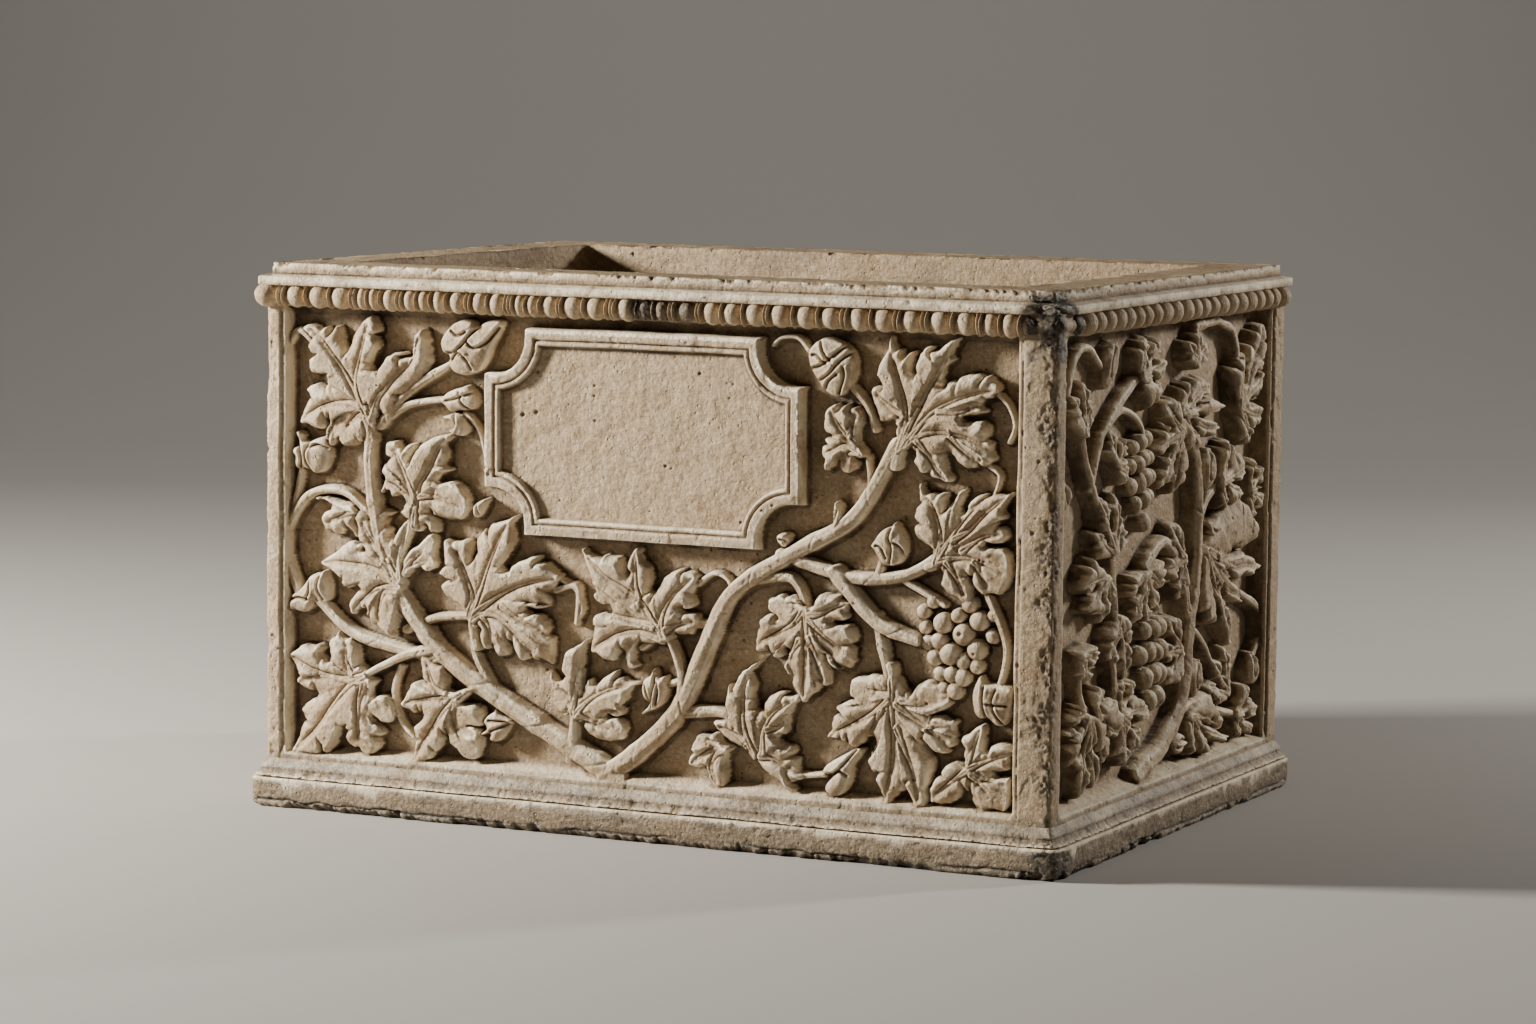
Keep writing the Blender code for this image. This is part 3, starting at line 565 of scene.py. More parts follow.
def node_output(tree, kind, output, values, **settings):
    """The output of a new node, with its inputs set from values or from other nodes' outputs."""
    node = tree.nodes.new(kind)
    for key, value in settings.items():
        setattr(node, key, value)
    for key, value in values.items():
        if hasattr(value, "node"):
            tree.links.new(value, node.inputs[key])
        else:
            node.inputs[key].default_value = value
    return node.outputs[output]


def marble(name):
    """Warm, weathered marble: pale on worn edges, partly painted highlight; brown with earth and painted
    shade in the hollows; black stains.
    """
    material = bpy.data.materials.new(name)
    material.use_nodes = True
    tree = material.node_tree
    shader = tree.nodes["Principled BSDF"]
    place = tree.nodes.new("ShaderNodeTexCoord").outputs["Object"]

    def noise(scale, detail, roughness, distortion=0.0, vector=place):
        return node_output(tree, "ShaderNodeTexNoise", "Fac", {
            "Vector": vector, "Scale": scale, "Detail": detail, "Roughness": roughness,
            "Distortion": distortion})

    def span(value, low_in, high_in, low_out=0.0, high_out=1.0):
        return node_output(tree, "ShaderNodeMapRange", "Result", {
            "Value": value, "From Min": low_in, "From Max": high_in, "To Min": low_out, "To Max": high_out})

    def combine(operation, a, b, clamp=False):
        return node_output(tree, "ShaderNodeMath", 0, {0: a, 1: b}, operation=operation, use_clamp=clamp)

    def paint(share, under, over):
        under = under if hasattr(under, "node") else (*under, 1.0)
        return node_output(tree, "ShaderNodeMix", 2, {0: share, 6: under, 7: (*over, 1.0)},
                           data_type="RGBA", clamp_factor=True)

    def field(key):
        return node_output(tree, "ShaderNodeAttribute", "Fac", {}, attribute_name=key)

    hollow, recess, level, stain = field("hollow"), field("recess"), field("level"), field("stain")
    broad = noise(9.0, 4.0, 0.6, 0.3)
    mottle = noise(60.0, 6.0, 0.65, 0.4)
    grain = noise(420.0, 5.0, 0.7)
    colour = paint(span(broad, 0.35, 0.65), (0.40, 0.293, 0.170), (0.475, 0.358, 0.222))
    colour = paint(span(mottle, 0.44, 0.68, 0.0, 0.6), colour, (0.37, 0.245, 0.13))
    colour = paint(span(noise(21.0, 5.0, 0.6, 0.6), 0.56, 0.70, 0.0, 0.45), colour, (0.37, 0.22, 0.11))
    colour = paint(span(grain, 0.52, 0.70, 0.0, 0.7), colour, (0.21, 0.14, 0.08))
    colour = paint(span(grain, 0.47, 0.30, 0.0, 0.6), colour, (0.72, 0.60, 0.43))
    patches = combine("MULTIPLY", span(mottle, 0.35, 0.6, 0.5, 1.0), span(broad, 0.3, 0.6, 0.7, 1.0))
    # Dirt and painted shade: dark brown in crevices, at the feet and on the walls of the relief, in the broad
    # sunk ground, and more where the ground is deepest.
    dirt_and_painted_shade = combine("ADD", span(hollow, 0.10, 0.8), span(recess, 1.8, 6.5, 0.0, 0.7), True)
    dirt_and_painted_shade = combine("ADD", dirt_and_painted_shade, span(level, -7.5, -12.0, 0.0, 0.16), True)
    dirt_and_painted_shade = combine("MULTIPLY", dirt_and_painted_shade, patches)
    colour = paint(dirt_and_painted_shade, colour, (0.052, 0.033, 0.018))
    # Pale worn edges, partly painted highlight on the crests and on raised tops.
    edges = combine("ADD", span(hollow, -0.12, -1.0, 0.0, 0.95), span(recess, -1.5, -5.0, 0.0, 0.22), True)
    edges = combine("MULTIPLY", edges, span(mottle, 0.66, 0.44, 0.3, 1.0))
    colour = paint(edges, colour, (0.93, 0.82, 0.62))
    # Black soot and stains; on the rim's top and in its hollow also painted shade.
    soot = combine("MULTIPLY", stain, span(grain, 0.30, 0.56, 0.55, 1.0))
    colour = paint(soot, colour, (0.026, 0.020, 0.014))
    matt = combine("ADD", span(mottle, 0.3, 0.7, 0.56, 0.72), span(hollow, -1.5, 2.0, -0.16, 0.16))
    cells = node_output(tree, "ShaderNodeTexVoronoi", "Distance", {"Vector": place, "Scale": 330.0})
    sparse = span(noise(150.0, 3.0, 0.6), 0.52, 0.62, 1.0, 0.0)
    holes = combine("MAXIMUM", span(cells, 0.0, 0.28), sparse)
    slanting = node_output(tree, "ShaderNodeMapping", "Vector", {
        "Vector": place, "Rotation": (0.5, 0.7, 0.4), "Scale": (1.0, 1.5, 2.6)})
    strokes = noise(75.0, 4.0, 0.5, vector=slanting)
    fine = combine("ADD", combine("MULTIPLY", grain, 0.6), combine("MULTIPLY", noise(120.0, 5.0, 0.6), 0.9))
    fine = combine("ADD", fine, combine("MULTIPLY", holes, 0.6))
    fine = combine("ADD", fine, combine("MULTIPLY", strokes, 0.6))
    bump = {"Strength": 1.0, "Distance": 0.0013, "Height": fine}
    shader.inputs["Specular IOR Level"].default_value = 0.45
    for key, value in (("Base Color", colour), ("Roughness", matt),
                       ("Normal", node_output(tree, "ShaderNodeBump", "Normal", bump))):
        tree.links.new(value, shader.inputs[key])
    return material


def hand_in(thing, material):
    """One finished piece of the block, with no point outside the block's box."""
    where = np.empty(len(thing.data.vertices) * 3, np.float32)
    thing.data.vertices.foreach_get("co", where)
    where = np.clip(where.reshape(-1, 3), np.array(low, np.float32), np.array(high, np.float32))
    thing.data.vertices.foreach_set("co", where.reshape(-1))
    thing.data.update()
    thing.data.materials.clear()
    thing.data.materials.append(material)
    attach(thing, "root")
    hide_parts("ash_chest")


# A leaf: its outline, its ribs from their feet, and its rolled lobes with their radius.
FRONT_LEAVES = (
    (((61, 203), (60, 199), (56, 194.5), (51, 192), (46, 192), (42, 195), (38, 191), (36, 192.5), (35, 197),
      (35.5, 200.5), (37.5, 204), (37, 206.5), (34.5, 205), (33, 200.5), (29, 200.3), (24, 202.5),
      (20, 203), (20.8, 208), (23, 213), (24.5, 217), (22.5, 220), (25, 222.5), (29, 223.2), (33, 222),
      (36, 224), (36.5, 226.5), (34.5, 228.5), (31, 229), (27.5, 229.5), (25.5, 232), (25.8, 236),
      (29, 238.5), (26.5, 240.5), (25, 243), (25.8, 247), (23.5, 250), (21, 252.5), (24, 254.5),
      (29, 253.5), (32, 252), (35, 253.5), (37.5, 251.5), (39.5, 254.5), (42.5, 253.5), (44, 249),
      (46, 244), (48, 242.3), (50, 245), (51, 250), (54, 254), (58, 258.5), (62, 260), (65.5, 256),
      (66, 252), (63, 250.5), (65.5, 247), (66, 243.5), (63.5, 240), (61.5, 236), (62.5, 232.5),
      (66.5, 232), (69, 235), (72, 239), (77, 241.5), (82, 241.5), (79, 239.3), (84, 239), (88, 240),
      (88.5, 246), (89.5, 251), (92, 254.5), (95, 251), (96, 245), (97, 238), (95, 232), (91, 226),
      (86, 221.5), (81, 219), (79, 216), (77.5, 211.5), (74, 207.5), (70, 208.5), (67, 211), (65, 207)),
     (((62, 203), (57, 215), (52, 224), (42, 237), (34, 246), (27, 252)), ((60, 209), (55, 220), (54, 230),
       (57, 241), (60, 255)), ((64, 207), (67, 217), (72, 223), (79, 231), (86, 237), (91, 249)),
      ((60, 212), (52, 214.5), (42, 214), (32, 211), (22, 205)), ((60, 209), (55, 208), (49, 203))),
     ((50, 198.5, 7.5),)),
    (((89, 150), (92, 150), (95, 153), (98, 149.5), (102, 150), (102, 155), (99.5, 158), (97.5, 160),
      (98.5, 161.5), (101, 158.5), (106, 157), (112, 157), (117, 158), (120, 162), (120, 168), (116, 174),
      (110, 176.5), (104, 174.8), (101.5, 176.5), (104, 179.5), (109, 182.5), (105.5, 184.5), (107, 190),
      (106.5, 195), (110, 200.5), (102, 199.5), (97, 197.5), (93, 195), (90, 192), (88.5, 188), (87, 184.7),
      (85, 185.5), (86, 188), (88, 191), (87.5, 194.5), (85, 194.5), (82, 192), (79, 193), (77, 195.5),
      (72, 195), (70, 192), (70, 188.5), (72, 186.5), (70.5, 184), (69, 180), (71, 177), (70.5, 173),
      (68, 168.5), (71, 170), (74, 170), (76, 166.7), (80, 168), (83, 167.5), (83.5, 164), (81, 161),
      (81, 158.5), (83, 157), (86, 155.5), (87, 152)),
     (((89, 152), (91, 165), (93, 174), (98, 182), (103, 192), (107, 199)), ((90, 167), (86, 175),
       (82, 183), (77, 191)), ((92, 168), (100, 168.5), (108, 167), (116, 164)), ((89, 165), (84, 168.5),
       (77, 173), (71, 174))),
     ((109, 166, 10.5),)),
    (((82, 118), (80, 110), (79, 103), (77, 97), (76, 93.5), (71, 96), (66, 99.5), (62, 100), (60, 104),
      (60, 107), (57, 107.3), (54.5, 106), (52, 103.5), (50, 105), (50, 109), (51.5, 112), (54.5, 116),
      (55, 118.5), (52.5, 119), (48, 117.8), (45.5, 120.5), (46, 122), (43.5, 124), (41, 125.5),
      (38.5, 127.5), (33, 130.3), (36, 133), (41, 136.5), (44, 139), (47, 141), (51, 142.3), (54, 141),
      (57.5, 140.5), (59, 138), (57, 136.8), (55.5, 138), (57, 141.5), (55, 146), (55, 150), (53.5, 155),
      (56, 158.8), (60, 157.5), (62, 154), (64, 157.5), (67, 159.5), (71, 160), (75, 158.5), (72, 156),
      (70.8, 152), (73, 150), (74, 146.5), (76, 145), (78.5, 147), (80.5, 151), (84, 155), (86.5, 156),
      (86.5, 150), (84.5, 144), (82, 138), (81.8, 131), (83, 125)),
     (((81, 120), (70, 127), (60, 130), (48, 130.8), (36, 130.8)), ((80, 123), (72, 135), (66, 147),
       (63, 153)), ((81, 124), (80, 135), (83, 147), (85, 154)), ((80, 120), (68, 119), (60, 113),
       (53, 107)), ((79, 118), (72, 117), (69, 110), (68, 101)), ((74, 133), (66, 140), (58, 152))),
     ()),
    (((83, 125), (81.5, 130), (83, 135), (87, 139.5), (92, 143), (96, 147), (100, 148.5), (101, 143),
      (100, 138), (101, 133), (97, 129), (93, 131), (89, 130), (85, 126)),
     (((83, 127), (87, 134), (93, 139), (98, 145)), ((85, 129), (91, 132), (97, 135))),
     ((95, 138, 6.5),)),
    (((29, 163.5), (34, 164.5), (40, 163.5), (46, 162), (51, 161), (55, 158), (54, 153), (55, 149),
      (53, 144.5), (50, 147), (47.5, 148.5), (44, 145.5), (41, 144.5), (38, 146.5), (35, 147),
      (33.5, 150.5), (33, 153.5), (35, 156.5), (38.5, 158), (39, 160.5), (36, 162.8), (32, 163.2)),
     (((55, 159), (46, 155), (38, 152)), ((52, 159), (43, 161), (34, 164))),
     ()),
    (((60, 75), (56, 78), (55, 82), (54, 87), (51.5, 91.5), (47, 90), (44, 92), (42, 94.5), (40, 91.5),
      (37.5, 89.5), (36.3, 87), (37, 83.5), (38, 80), (36.5, 77.5), (34, 79), (32, 82), (33, 85),
      (30, 86.5), (27, 85.5), (23, 86), (20, 85), (17, 82.5), (14, 80), (16, 76), (17, 72.5), (19, 70),
      (18.5, 66), (21, 64), (24.5, 61.8), (28, 61.8), (29.5, 60), (28, 58), (25, 56.5), (21, 54), (19, 51),
      (20.5, 48.5), (21.5, 46), (19.5, 42.5), (18.5, 37), (17, 33), (15.5, 29.2), (20, 28.8), (24, 28.8),
      (28, 28.5), (32, 29), (33.5, 34), (34.5, 30.5), (37.5, 30), (41, 34), (42, 37.5), (43, 41), (45, 44),
      (48, 45), (49, 42), (48.5, 39), (50, 35.5), (53, 34), (55.5, 34.5), (58, 32), (61, 31), (64, 31.5),
      (66, 33.5), (67.5, 36.5), (67, 40), (69.5, 42), (68, 45), (64, 47), (62.5, 50.3), (65, 51.2),
      (69, 48.8), (74, 48.5), (76.5, 51), (77, 55), (75.5, 59.5), (72, 62.3), (68, 62.3), (64.3, 60.6),
      (62.8, 64.5), (65.5, 69.5), (62, 72)),
     (((61, 73), (50, 66), (40, 55), (30, 42), (18, 31)), ((60, 72), (48, 70), (37, 71), (27, 74),
       (16, 79)), ((60, 68), (57, 60), (56, 50), (56, 41), (59, 33)), ((57, 69), (47, 69), (35, 70),
       (25, 68), (20, 66)), ((62, 69), (65, 63), (70, 56)), ((52, 72), (49, 79), (48, 87))),
     ((69, 55, 8.0), (60, 37, 7.0))),
    (((130, 71), (124, 69), (118.5, 65.7), (116.5, 62), (120, 61.2), (124, 61.5), (128, 60), (129.5, 56),
      (129, 52), (126, 50.5), (121, 50.3), (126, 49), (128.5, 44), (128, 39), (126, 34), (122, 33),
      (118, 34.5), (115, 37), (112, 38), (109.5, 40), (109, 43.5), (107.5, 44), (106, 41), (104, 37),
      (101, 35), (99.5, 31.5), (94, 29.3), (89, 29), (89, 36), (90, 41), (88.5, 44.5), (88.5, 47.5),
      (91, 49.5), (93, 52), (93, 54.8), (90, 55.5), (88, 54), (85, 56), (82, 57.5), (81, 59.5), (83, 61.5),
      (84, 64), (86, 67), (88, 70), (91, 71.5), (94.5, 71.2), (93, 75), (92, 80), (92, 85), (95, 87),
      (99, 84), (103, 81), (107, 80), (108.5, 75), (108, 69), (113, 67), (120, 70)),
     (((128, 71), (118, 67), (108, 58), (100, 47), (90, 31)), ((118, 67), (108, 64.5), (98, 63), (84, 60)),
      ((115, 64), (113, 56), (115, 48), (122, 37)), ((108, 66), (101, 71), (97, 80))),
     ((122, 56, 7.5), (119, 42, 8.0))),
    (((119, 110), (118, 112.5), (115, 113.5), (111, 115), (108, 118), (106, 122), (108, 125), (111, 125.3),
      (108, 127), (105, 129), (107, 133), (106, 138), (105.8, 144), (106.5, 146.3), (110, 145),
      (115, 145.5), (118, 147), (121.5, 145.5), (122.5, 141), (121.5, 137.5), (123, 137), (124.3, 141),
      (124, 146), (126, 150), (129, 153), (130.5, 151.5), (133, 155.5), (137, 156.7), (141, 158),
      (145, 159.5), (148, 160.5), (145.5, 155), (146.5, 150), (146.5, 146), (143, 140), (140, 134.5),
      (142.5, 131.8), (146, 132.7), (149, 136), (153, 138.5), (158, 140.5), (161.5, 140.8), (160.5, 137.5),
      (165, 137.8), (168, 135.5), (172, 132.5), (174, 131), (172.5, 127.5), (170, 124), (166.5, 121.5),
      (167.5, 118), (166, 115.5), (161, 114), (155.5, 114.8), (154.3, 112.5), (157, 110.7), (162, 110.6),
      (165, 108.5), (167.5, 104.5), (166.5, 100.5), (169.5, 99), (169.5, 93), (168.8, 85.3), (166, 86.5),
      (163, 87.5), (159.5, 87.5), (158, 90.5), (156, 87.7), (153.5, 86.7), (151, 88.5), (149, 92),
      (147.3, 96), (145, 97.2), (142.8, 96), (143.5, 91), (142, 87.8), (139, 87.8), (136.5, 91),
      (135, 93.5), (132.5, 91.3), (130, 92.3), (128.5, 97), (129, 101), (127, 102.7), (124.5, 102)),
     (((123, 106), (129, 122), (135, 138), (143, 156)), ((124, 107), (133, 115), (146, 123), (160, 128),
       (171, 129.7)), ((125, 106), (131, 109.3), (140, 108), (149, 101), (158, 92)), ((122, 107),
       (124, 118), (120, 128), (114, 140)), ((130, 109), (134, 102), (134, 94)), ((142, 114), (152, 108),
       (163, 103))),
     ()),
    (((237, 102), (234, 100.5), (230, 101), (225, 101), (220, 99.5), (217, 95.5), (216.5, 90.5), (218, 88),
      (214.5, 86.5), (212.5, 91), (212, 95), (210, 96.3), (208.3, 93.5), (206, 90.2), (203, 90.2),
      (200, 91.3), (196, 93.3), (192.5, 94), (192.7, 99), (193.3, 105), (193.7, 110), (196, 113.5),
      (200, 113), (204, 113), (205, 116), (203, 118.5), (199.5, 118.5), (195.5, 120), (193.7, 123),
      (194.3, 126), (193, 130), (190.5, 136), (188.5, 142), (187, 146), (190, 143.7), (194, 142),
      (198, 142), (199.5, 144), (201.5, 143.3), (204, 142.8), (208, 142.5), (210.5, 139), (212, 134.7),
      (213.5, 133.3), (214.5, 136), (213.5, 140), (215, 144), (218.5, 148.3), (220, 144), (221.5, 141),
      (224.5, 138.5), (226, 134), (225.5, 130), (225.3, 126.5), (228.5, 126.3), (231, 130.5), (234, 135),
      (237, 137.3), (241, 138.7), (244.5, 139), (243, 137.2), (247, 138), (252, 136.2), (252, 131),
      (250, 126.5), (251, 121.5), (248, 119.5), (244, 119.5), (243, 117.7), (245, 116.6), (250, 117.2),
      (253, 115.5), (253.5, 111), (250.5, 107.5), (246, 105.8), (241, 106.2), (239, 104)),
     (((236, 104), (229, 112), (222, 121), (211, 128), (201, 133), (191, 142)), ((221, 121), (219, 128),
       (218, 138), (217.5, 146)), ((235, 104), (233.5, 111), (236, 120), (243, 129), (250, 135)),
      ((233, 103), (222, 106), (212, 105), (203, 101), (194, 95.3)), ((230, 110), (216, 112), (203, 115),
       (196, 121)), ((236, 108), (242, 111), (250, 113))),
     ((221, 94.5, 6.5),)),
    (((183, 58), (187, 57.3), (189.3, 58), (189.7, 54), (192.5, 50.7), (197, 49), (203, 48.7), (209, 49.5),
      (212, 53), (212, 57), (208, 60.5), (203, 60), (201.2, 61.7), (203, 63), (207, 61.7), (211, 64),
      (210, 67.3), (212.5, 70), (213.5, 73), (216, 77), (219.5, 79.5), (214, 80), (210, 81.5), (207, 81.5),
      (206, 84.7), (202.5, 82.5), (199, 80), (196, 77), (193.3, 77.3), (191.5, 80), (189, 76), (187.5, 71),
      (187, 80), (187.5, 90), (190, 99.5), (186, 97), (182, 94.7), (179, 93), (177, 89), (176.5, 84.5),
      (178.5, 81), (176.5, 78), (173, 77), (168, 81.5), (169.5, 75), (171, 71), (171, 66.5), (174, 61.7),
      (178, 60), (181, 61)),
     (((183, 58), (184, 66), (185.5, 78), (189, 97)), ((185, 61), (192, 69), (203, 75), (216, 79)),
      ((184, 62), (179, 68), (172, 76)), ((187, 61), (195, 58), (204, 55))),
     ((203, 55, 8.0), (176, 66, 5.5))),
    (((286, 46.5), (283, 50), (280, 50.3), (273, 53.3), (267, 58), (262.5, 63), (266, 64), (271, 66),
      (270, 69), (269, 72), (269.3, 76), (270, 80), (271, 83), (272.5, 79.8), (275.5, 84.5), (279, 89.5),
      (283, 92.5), (287, 95.5), (290, 98.3), (286, 93), (283, 89), (285.5, 82.5), (284.5, 77), (286, 72),
      (288.3, 70.5), (290.2, 72), (291, 76), (294, 79), (298.5, 80.7), (302.5, 81), (300.5, 79),
      (305.5, 79), (310, 78.7), (306.5, 74), (304, 68), (303.3, 62), (300, 58.8), (298.2, 57.5),
      (299.5, 55.3), (303, 54.5), (306.5, 54), (307.5, 51.5), (306.3, 49), (308.5, 48), (309.3, 44),
      (310, 41), (313, 39), (309, 37), (306, 35.5), (308, 32), (303, 33.3), (297, 37.5), (291, 42)),
     (((286, 48), (281, 60), (279.5, 72), (281, 85), (287, 94)), ((291, 49), (291, 60), (294.5, 68),
       (301, 74), (308, 78)), ((290, 48), (297, 47), (305, 43)), ((283, 54), (275, 58), (267, 61)),
      ((293, 62), (299, 63), (302, 66))),
     ()),
    (((272, 50), (269, 51.5), (266, 53), (265.3, 56), (262.5, 57.7), (260, 56), (257, 55.7), (254, 56),
      (252.3, 52.7), (250.5, 50), (251, 47), (249.5, 44), (249.5, 41), (251.5, 40), (254, 39),
      (258.5, 40.5), (260, 37.5), (261, 34), (262.5, 31), (265, 30), (268, 30.7), (269.3, 34), (270, 38),
      (269, 43), (270, 47)),
     (((272, 51), (262, 49), (251, 42)), ((270, 50), (264, 46), (262, 40), (264, 32)), ((268, 51),
       (261, 53), (255, 54))),
     ()),
    (((313, 125), (311, 126.5), (309.5, 128.3), (306, 129.5), (302, 128.6), (299, 129.5), (296, 128.5),
      (293, 127), (292.3, 123.5), (294, 121), (297, 119.5), (298.3, 117.7), (296.5, 116.8), (295, 119.3),
      (291, 118.7), (288, 116), (287.5, 113), (286.5, 110.5), (286.3, 106), (286, 101), (290, 100.6),
      (293, 100.5), (295, 99), (298, 98.5), (301, 100), (301.5, 103), (303, 104.7), (305, 103),
      (304.5, 99.5), (302.5, 96), (302, 93), (304, 90.7), (306.5, 90), (306, 87), (307, 83.5), (310, 79.8),
      (312.5, 76.7), (314, 79), (317, 81), (320, 83.5), (321, 88.3), (323, 86), (325.3, 86.3), (326, 90),
      (325.3, 94), (322.7, 98.7), (322.8, 101.7), (324.7, 102), (326, 98.7), (328.5, 96), (332, 94.6),
      (337, 95.6), (339, 99), (339.3, 104), (337.5, 107.5), (340, 110), (339.5, 114), (337, 117.3),
      (333, 117.5), (329.5, 116.4), (327.7, 117.5), (329, 119.2), (333, 119), (336, 121), (335, 123.5),
      (337, 127), (340, 130), (335, 128.6), (331, 129.7), (332, 132), (327, 131.5), (322, 131.5),
      (319.5, 129), (318, 126), (315.5, 124.5)),
     (((314, 124), (314.5, 110), (314, 97), (312.8, 80)), ((313, 123), (307, 116), (299, 111),
       (287.5, 104.5)), ((316, 121), (321, 121.5), (328, 125), (337, 128.7)), ((316, 119), (323, 112),
       (333, 105)), ((315, 110), (320, 100), (323, 89)), ((312, 124), (305, 125), (296, 124)), ((311, 108),
       (306, 100), (305, 93))),
     ((302, 124, 6.5),)),
    (((345, 201.5), (342, 200.5), (339.5, 200.5), (340, 197.5), (338.5, 194.7), (336, 193), (333, 193.4),
      (331, 195.8), (331, 199), (328.5, 197.5), (324, 193.5), (322.5, 196), (322.5, 199), (321, 201.5),
      (320.5, 205), (322, 207), (321.5, 209.3), (325, 211), (322.5, 214), (322, 218), (323, 222),
      (325, 225), (328, 226.5), (330, 224.5), (332, 226), (334.5, 226.5), (335.5, 224), (338.5, 225.3),
      (341.5, 223), (342.5, 219), (341, 215), (340.5, 211), (341.5, 207), (344, 204.5)),
     (((345, 201), (338, 208), (331, 215), (326, 222)), ((343, 203), (334, 206.5), (328, 204), (322, 201)),
      ((340, 203), (336, 202), (334, 198)), ((336, 210), (337, 217), (339, 222))),
     ((335, 197.5, 4.5),)),
    (((362, 203), (361.5, 209), (362, 213), (361.3, 217.5), (359, 219.5), (355.5, 219.3), (352, 219),
      (350, 222), (348.5, 226), (348, 230), (347.5, 234), (349.2, 236.3), (352, 236), (354, 236.2),
      (353, 239), (351, 242.3), (351.5, 246), (353.5, 250), (355.5, 254), (356, 258.5), (357.5, 261.3),
      (358.7, 257), (360.5, 254.7), (362.5, 255), (363.7, 251.7), (366, 252), (368, 253.5), (370, 253.7),
      (369, 249), (369.2, 244), (370.5, 242.3), (372, 244), (372.5, 248), (373.5, 252), (375, 254.5),
      (377, 256.5), (379.5, 256.3), (378.5, 253.7), (381.5, 254.3), (384, 255.2), (386.5, 257.7),
      (390, 260), (394, 262), (391, 257), (389.3, 253), (390.7, 251), (388, 248.7), (386, 244.5),
      (385.3, 240.5), (386.3, 237.3), (388.5, 240), (391, 240.5), (393.5, 240.3), (396, 243), (399.5, 244),
      (403, 244.3), (406.5, 243), (409.5, 243.7), (413, 241), (415, 238), (413.5, 235.5), (411.5, 233),
      (408, 232), (406, 229), (408, 226.3), (403.5, 224.5), (399, 224.3), (395.8, 222.7), (397, 220.8),
      (400.5, 220.3), (404.5, 221.3), (407.5, 221.3), (409.7, 218.7), (410, 215), (409, 212.7),
      (411.7, 210.3), (411.3, 207), (413, 204), (411, 201.2), (407.5, 199.7), (405, 200.8), (402, 198.3),
      (398.3, 198.3), (394.7, 200.3), (392, 203.7), (389, 206), (387, 205), (386.8, 201.5), (388, 197),
      (390.5, 193), (389, 191), (385, 192), (381, 193.7), (379.5, 195.7), (375.5, 195), (373, 197),
      (371.5, 200), (372, 203.5), (370.5, 206.8), (367.5, 206.3)),
     (((363, 204), (365.8, 214), (366.8, 222), (365.3, 232), (362, 242), (358, 252)), ((364, 206),
       (369, 218), (376, 231), (384, 245), (391.5, 259.5)), ((365, 206), (372, 215), (381, 225), (392, 231),
       (403, 235), (412, 236.5)), ((366, 206), (371, 211), (378, 214.3), (388, 215), (400, 213),
       (409, 209)), ((373, 211), (379, 204), (383, 197.5), (388, 192)), ((383, 226), (393, 225),
       (402, 228)), ((390, 215), (396, 208), (403, 203)), ((366, 222), (359, 226), (351, 232))),
     ()),
    (((381, 150), (382, 154), (381.5, 158), (378, 159.5), (375, 161), (373, 163), (371, 166),
      (371.5, 168.3), (373.3, 170), (371, 173), (372, 177), (374, 180), (374, 184), (373.5, 187.5),
      (374.5, 189.7), (376, 186), (377.5, 184.5), (380, 185), (383, 184), (385.5, 185.3), (388, 184),
      (388, 180), (388.7, 177.7), (390.5, 180), (392, 183), (394.5, 187), (398, 187.5), (396.5, 183),
      (395.3, 179), (396.3, 176.5), (398.3, 176), (400, 178.5), (400.5, 181.5), (403, 184), (406, 185.5),
      (408.5, 185.5), (407.5, 183.5), (411, 185), (414, 186.5), (419, 186), (422.5, 187), (420.5, 183),
      (418.5, 179), (419.5, 175.5), (417, 173), (415, 170.5), (419.5, 170), (421, 166), (418.5, 163),
      (413.5, 162.3), (410, 163), (408.5, 161), (410, 159.5), (414, 160), (419, 159.7), (422, 156.5),
      (423, 151), (423, 146), (421, 141), (417, 137.5), (412, 138), (409, 137), (406, 139), (404, 142),
      (403, 145.3), (401, 146.5), (399.7, 145.3), (401.5, 141), (402, 137.5), (401.5, 133.5), (398, 132.3),
      (394.5, 134.3), (391, 136), (388, 138), (386.3, 141), (387, 145), (386, 148), (383, 149)),
     (((384, 151), (386, 160), (385.5, 168), (382, 177), (377, 184)), ((385, 153), (391, 163), (398, 173),
       (406, 182)), ((392, 163), (401, 168), (410, 177), (420, 185.5)), ((385, 152), (392, 154),
       (401, 154.7), (411, 152), (419, 148)), ((390, 152), (395, 144), (399, 136)), ((398, 158), (408, 165),
       (417, 167)), ((404, 154), (408, 147), (411, 141))),
     ((415, 149, 8.5),)),
    (((358, 92.5), (354, 93), (350, 93.3), (345, 92), (341, 91.3), (338, 89), (337.5, 85), (338.7, 82),
      (340, 80), (335, 78.7), (331.5, 77), (330, 75), (332, 73), (329.3, 71), (328, 68), (327.5, 64),
      (326, 60.5), (330, 60.5), (333, 60.7), (335, 59.3), (337, 60), (338, 57.5), (340.5, 56.5),
      (343.5, 57.3), (345.5, 59.5), (348, 62), (350.5, 62.3), (351.7, 60), (350.7, 57), (348.7, 54),
      (348.5, 50), (350, 47), (352, 44.7), (354, 45), (353.3, 41), (355, 37), (357, 33), (356.5, 29),
      (360, 29.5), (363, 33), (365, 35.3), (367.5, 37), (369, 41), (370.3, 38), (371.5, 35), (373, 31.5),
      (375, 28.7), (379, 29.7), (380.3, 34), (379.5, 38), (381, 42), (382, 45), (383.3, 48.5), (382.5, 53),
      (380, 57), (377.5, 60), (376.7, 62.5), (378.5, 63.5), (381, 61.3), (384.5, 58.3), (388, 57),
      (391.5, 57.7), (391, 60.3), (394.5, 61.3), (395, 65), (394, 69), (395, 73), (391, 74), (387, 75.3),
      (382.7, 75.8), (387, 78.3), (391, 80), (393, 83), (391, 86.5), (387.5, 88.5), (384, 90.7),
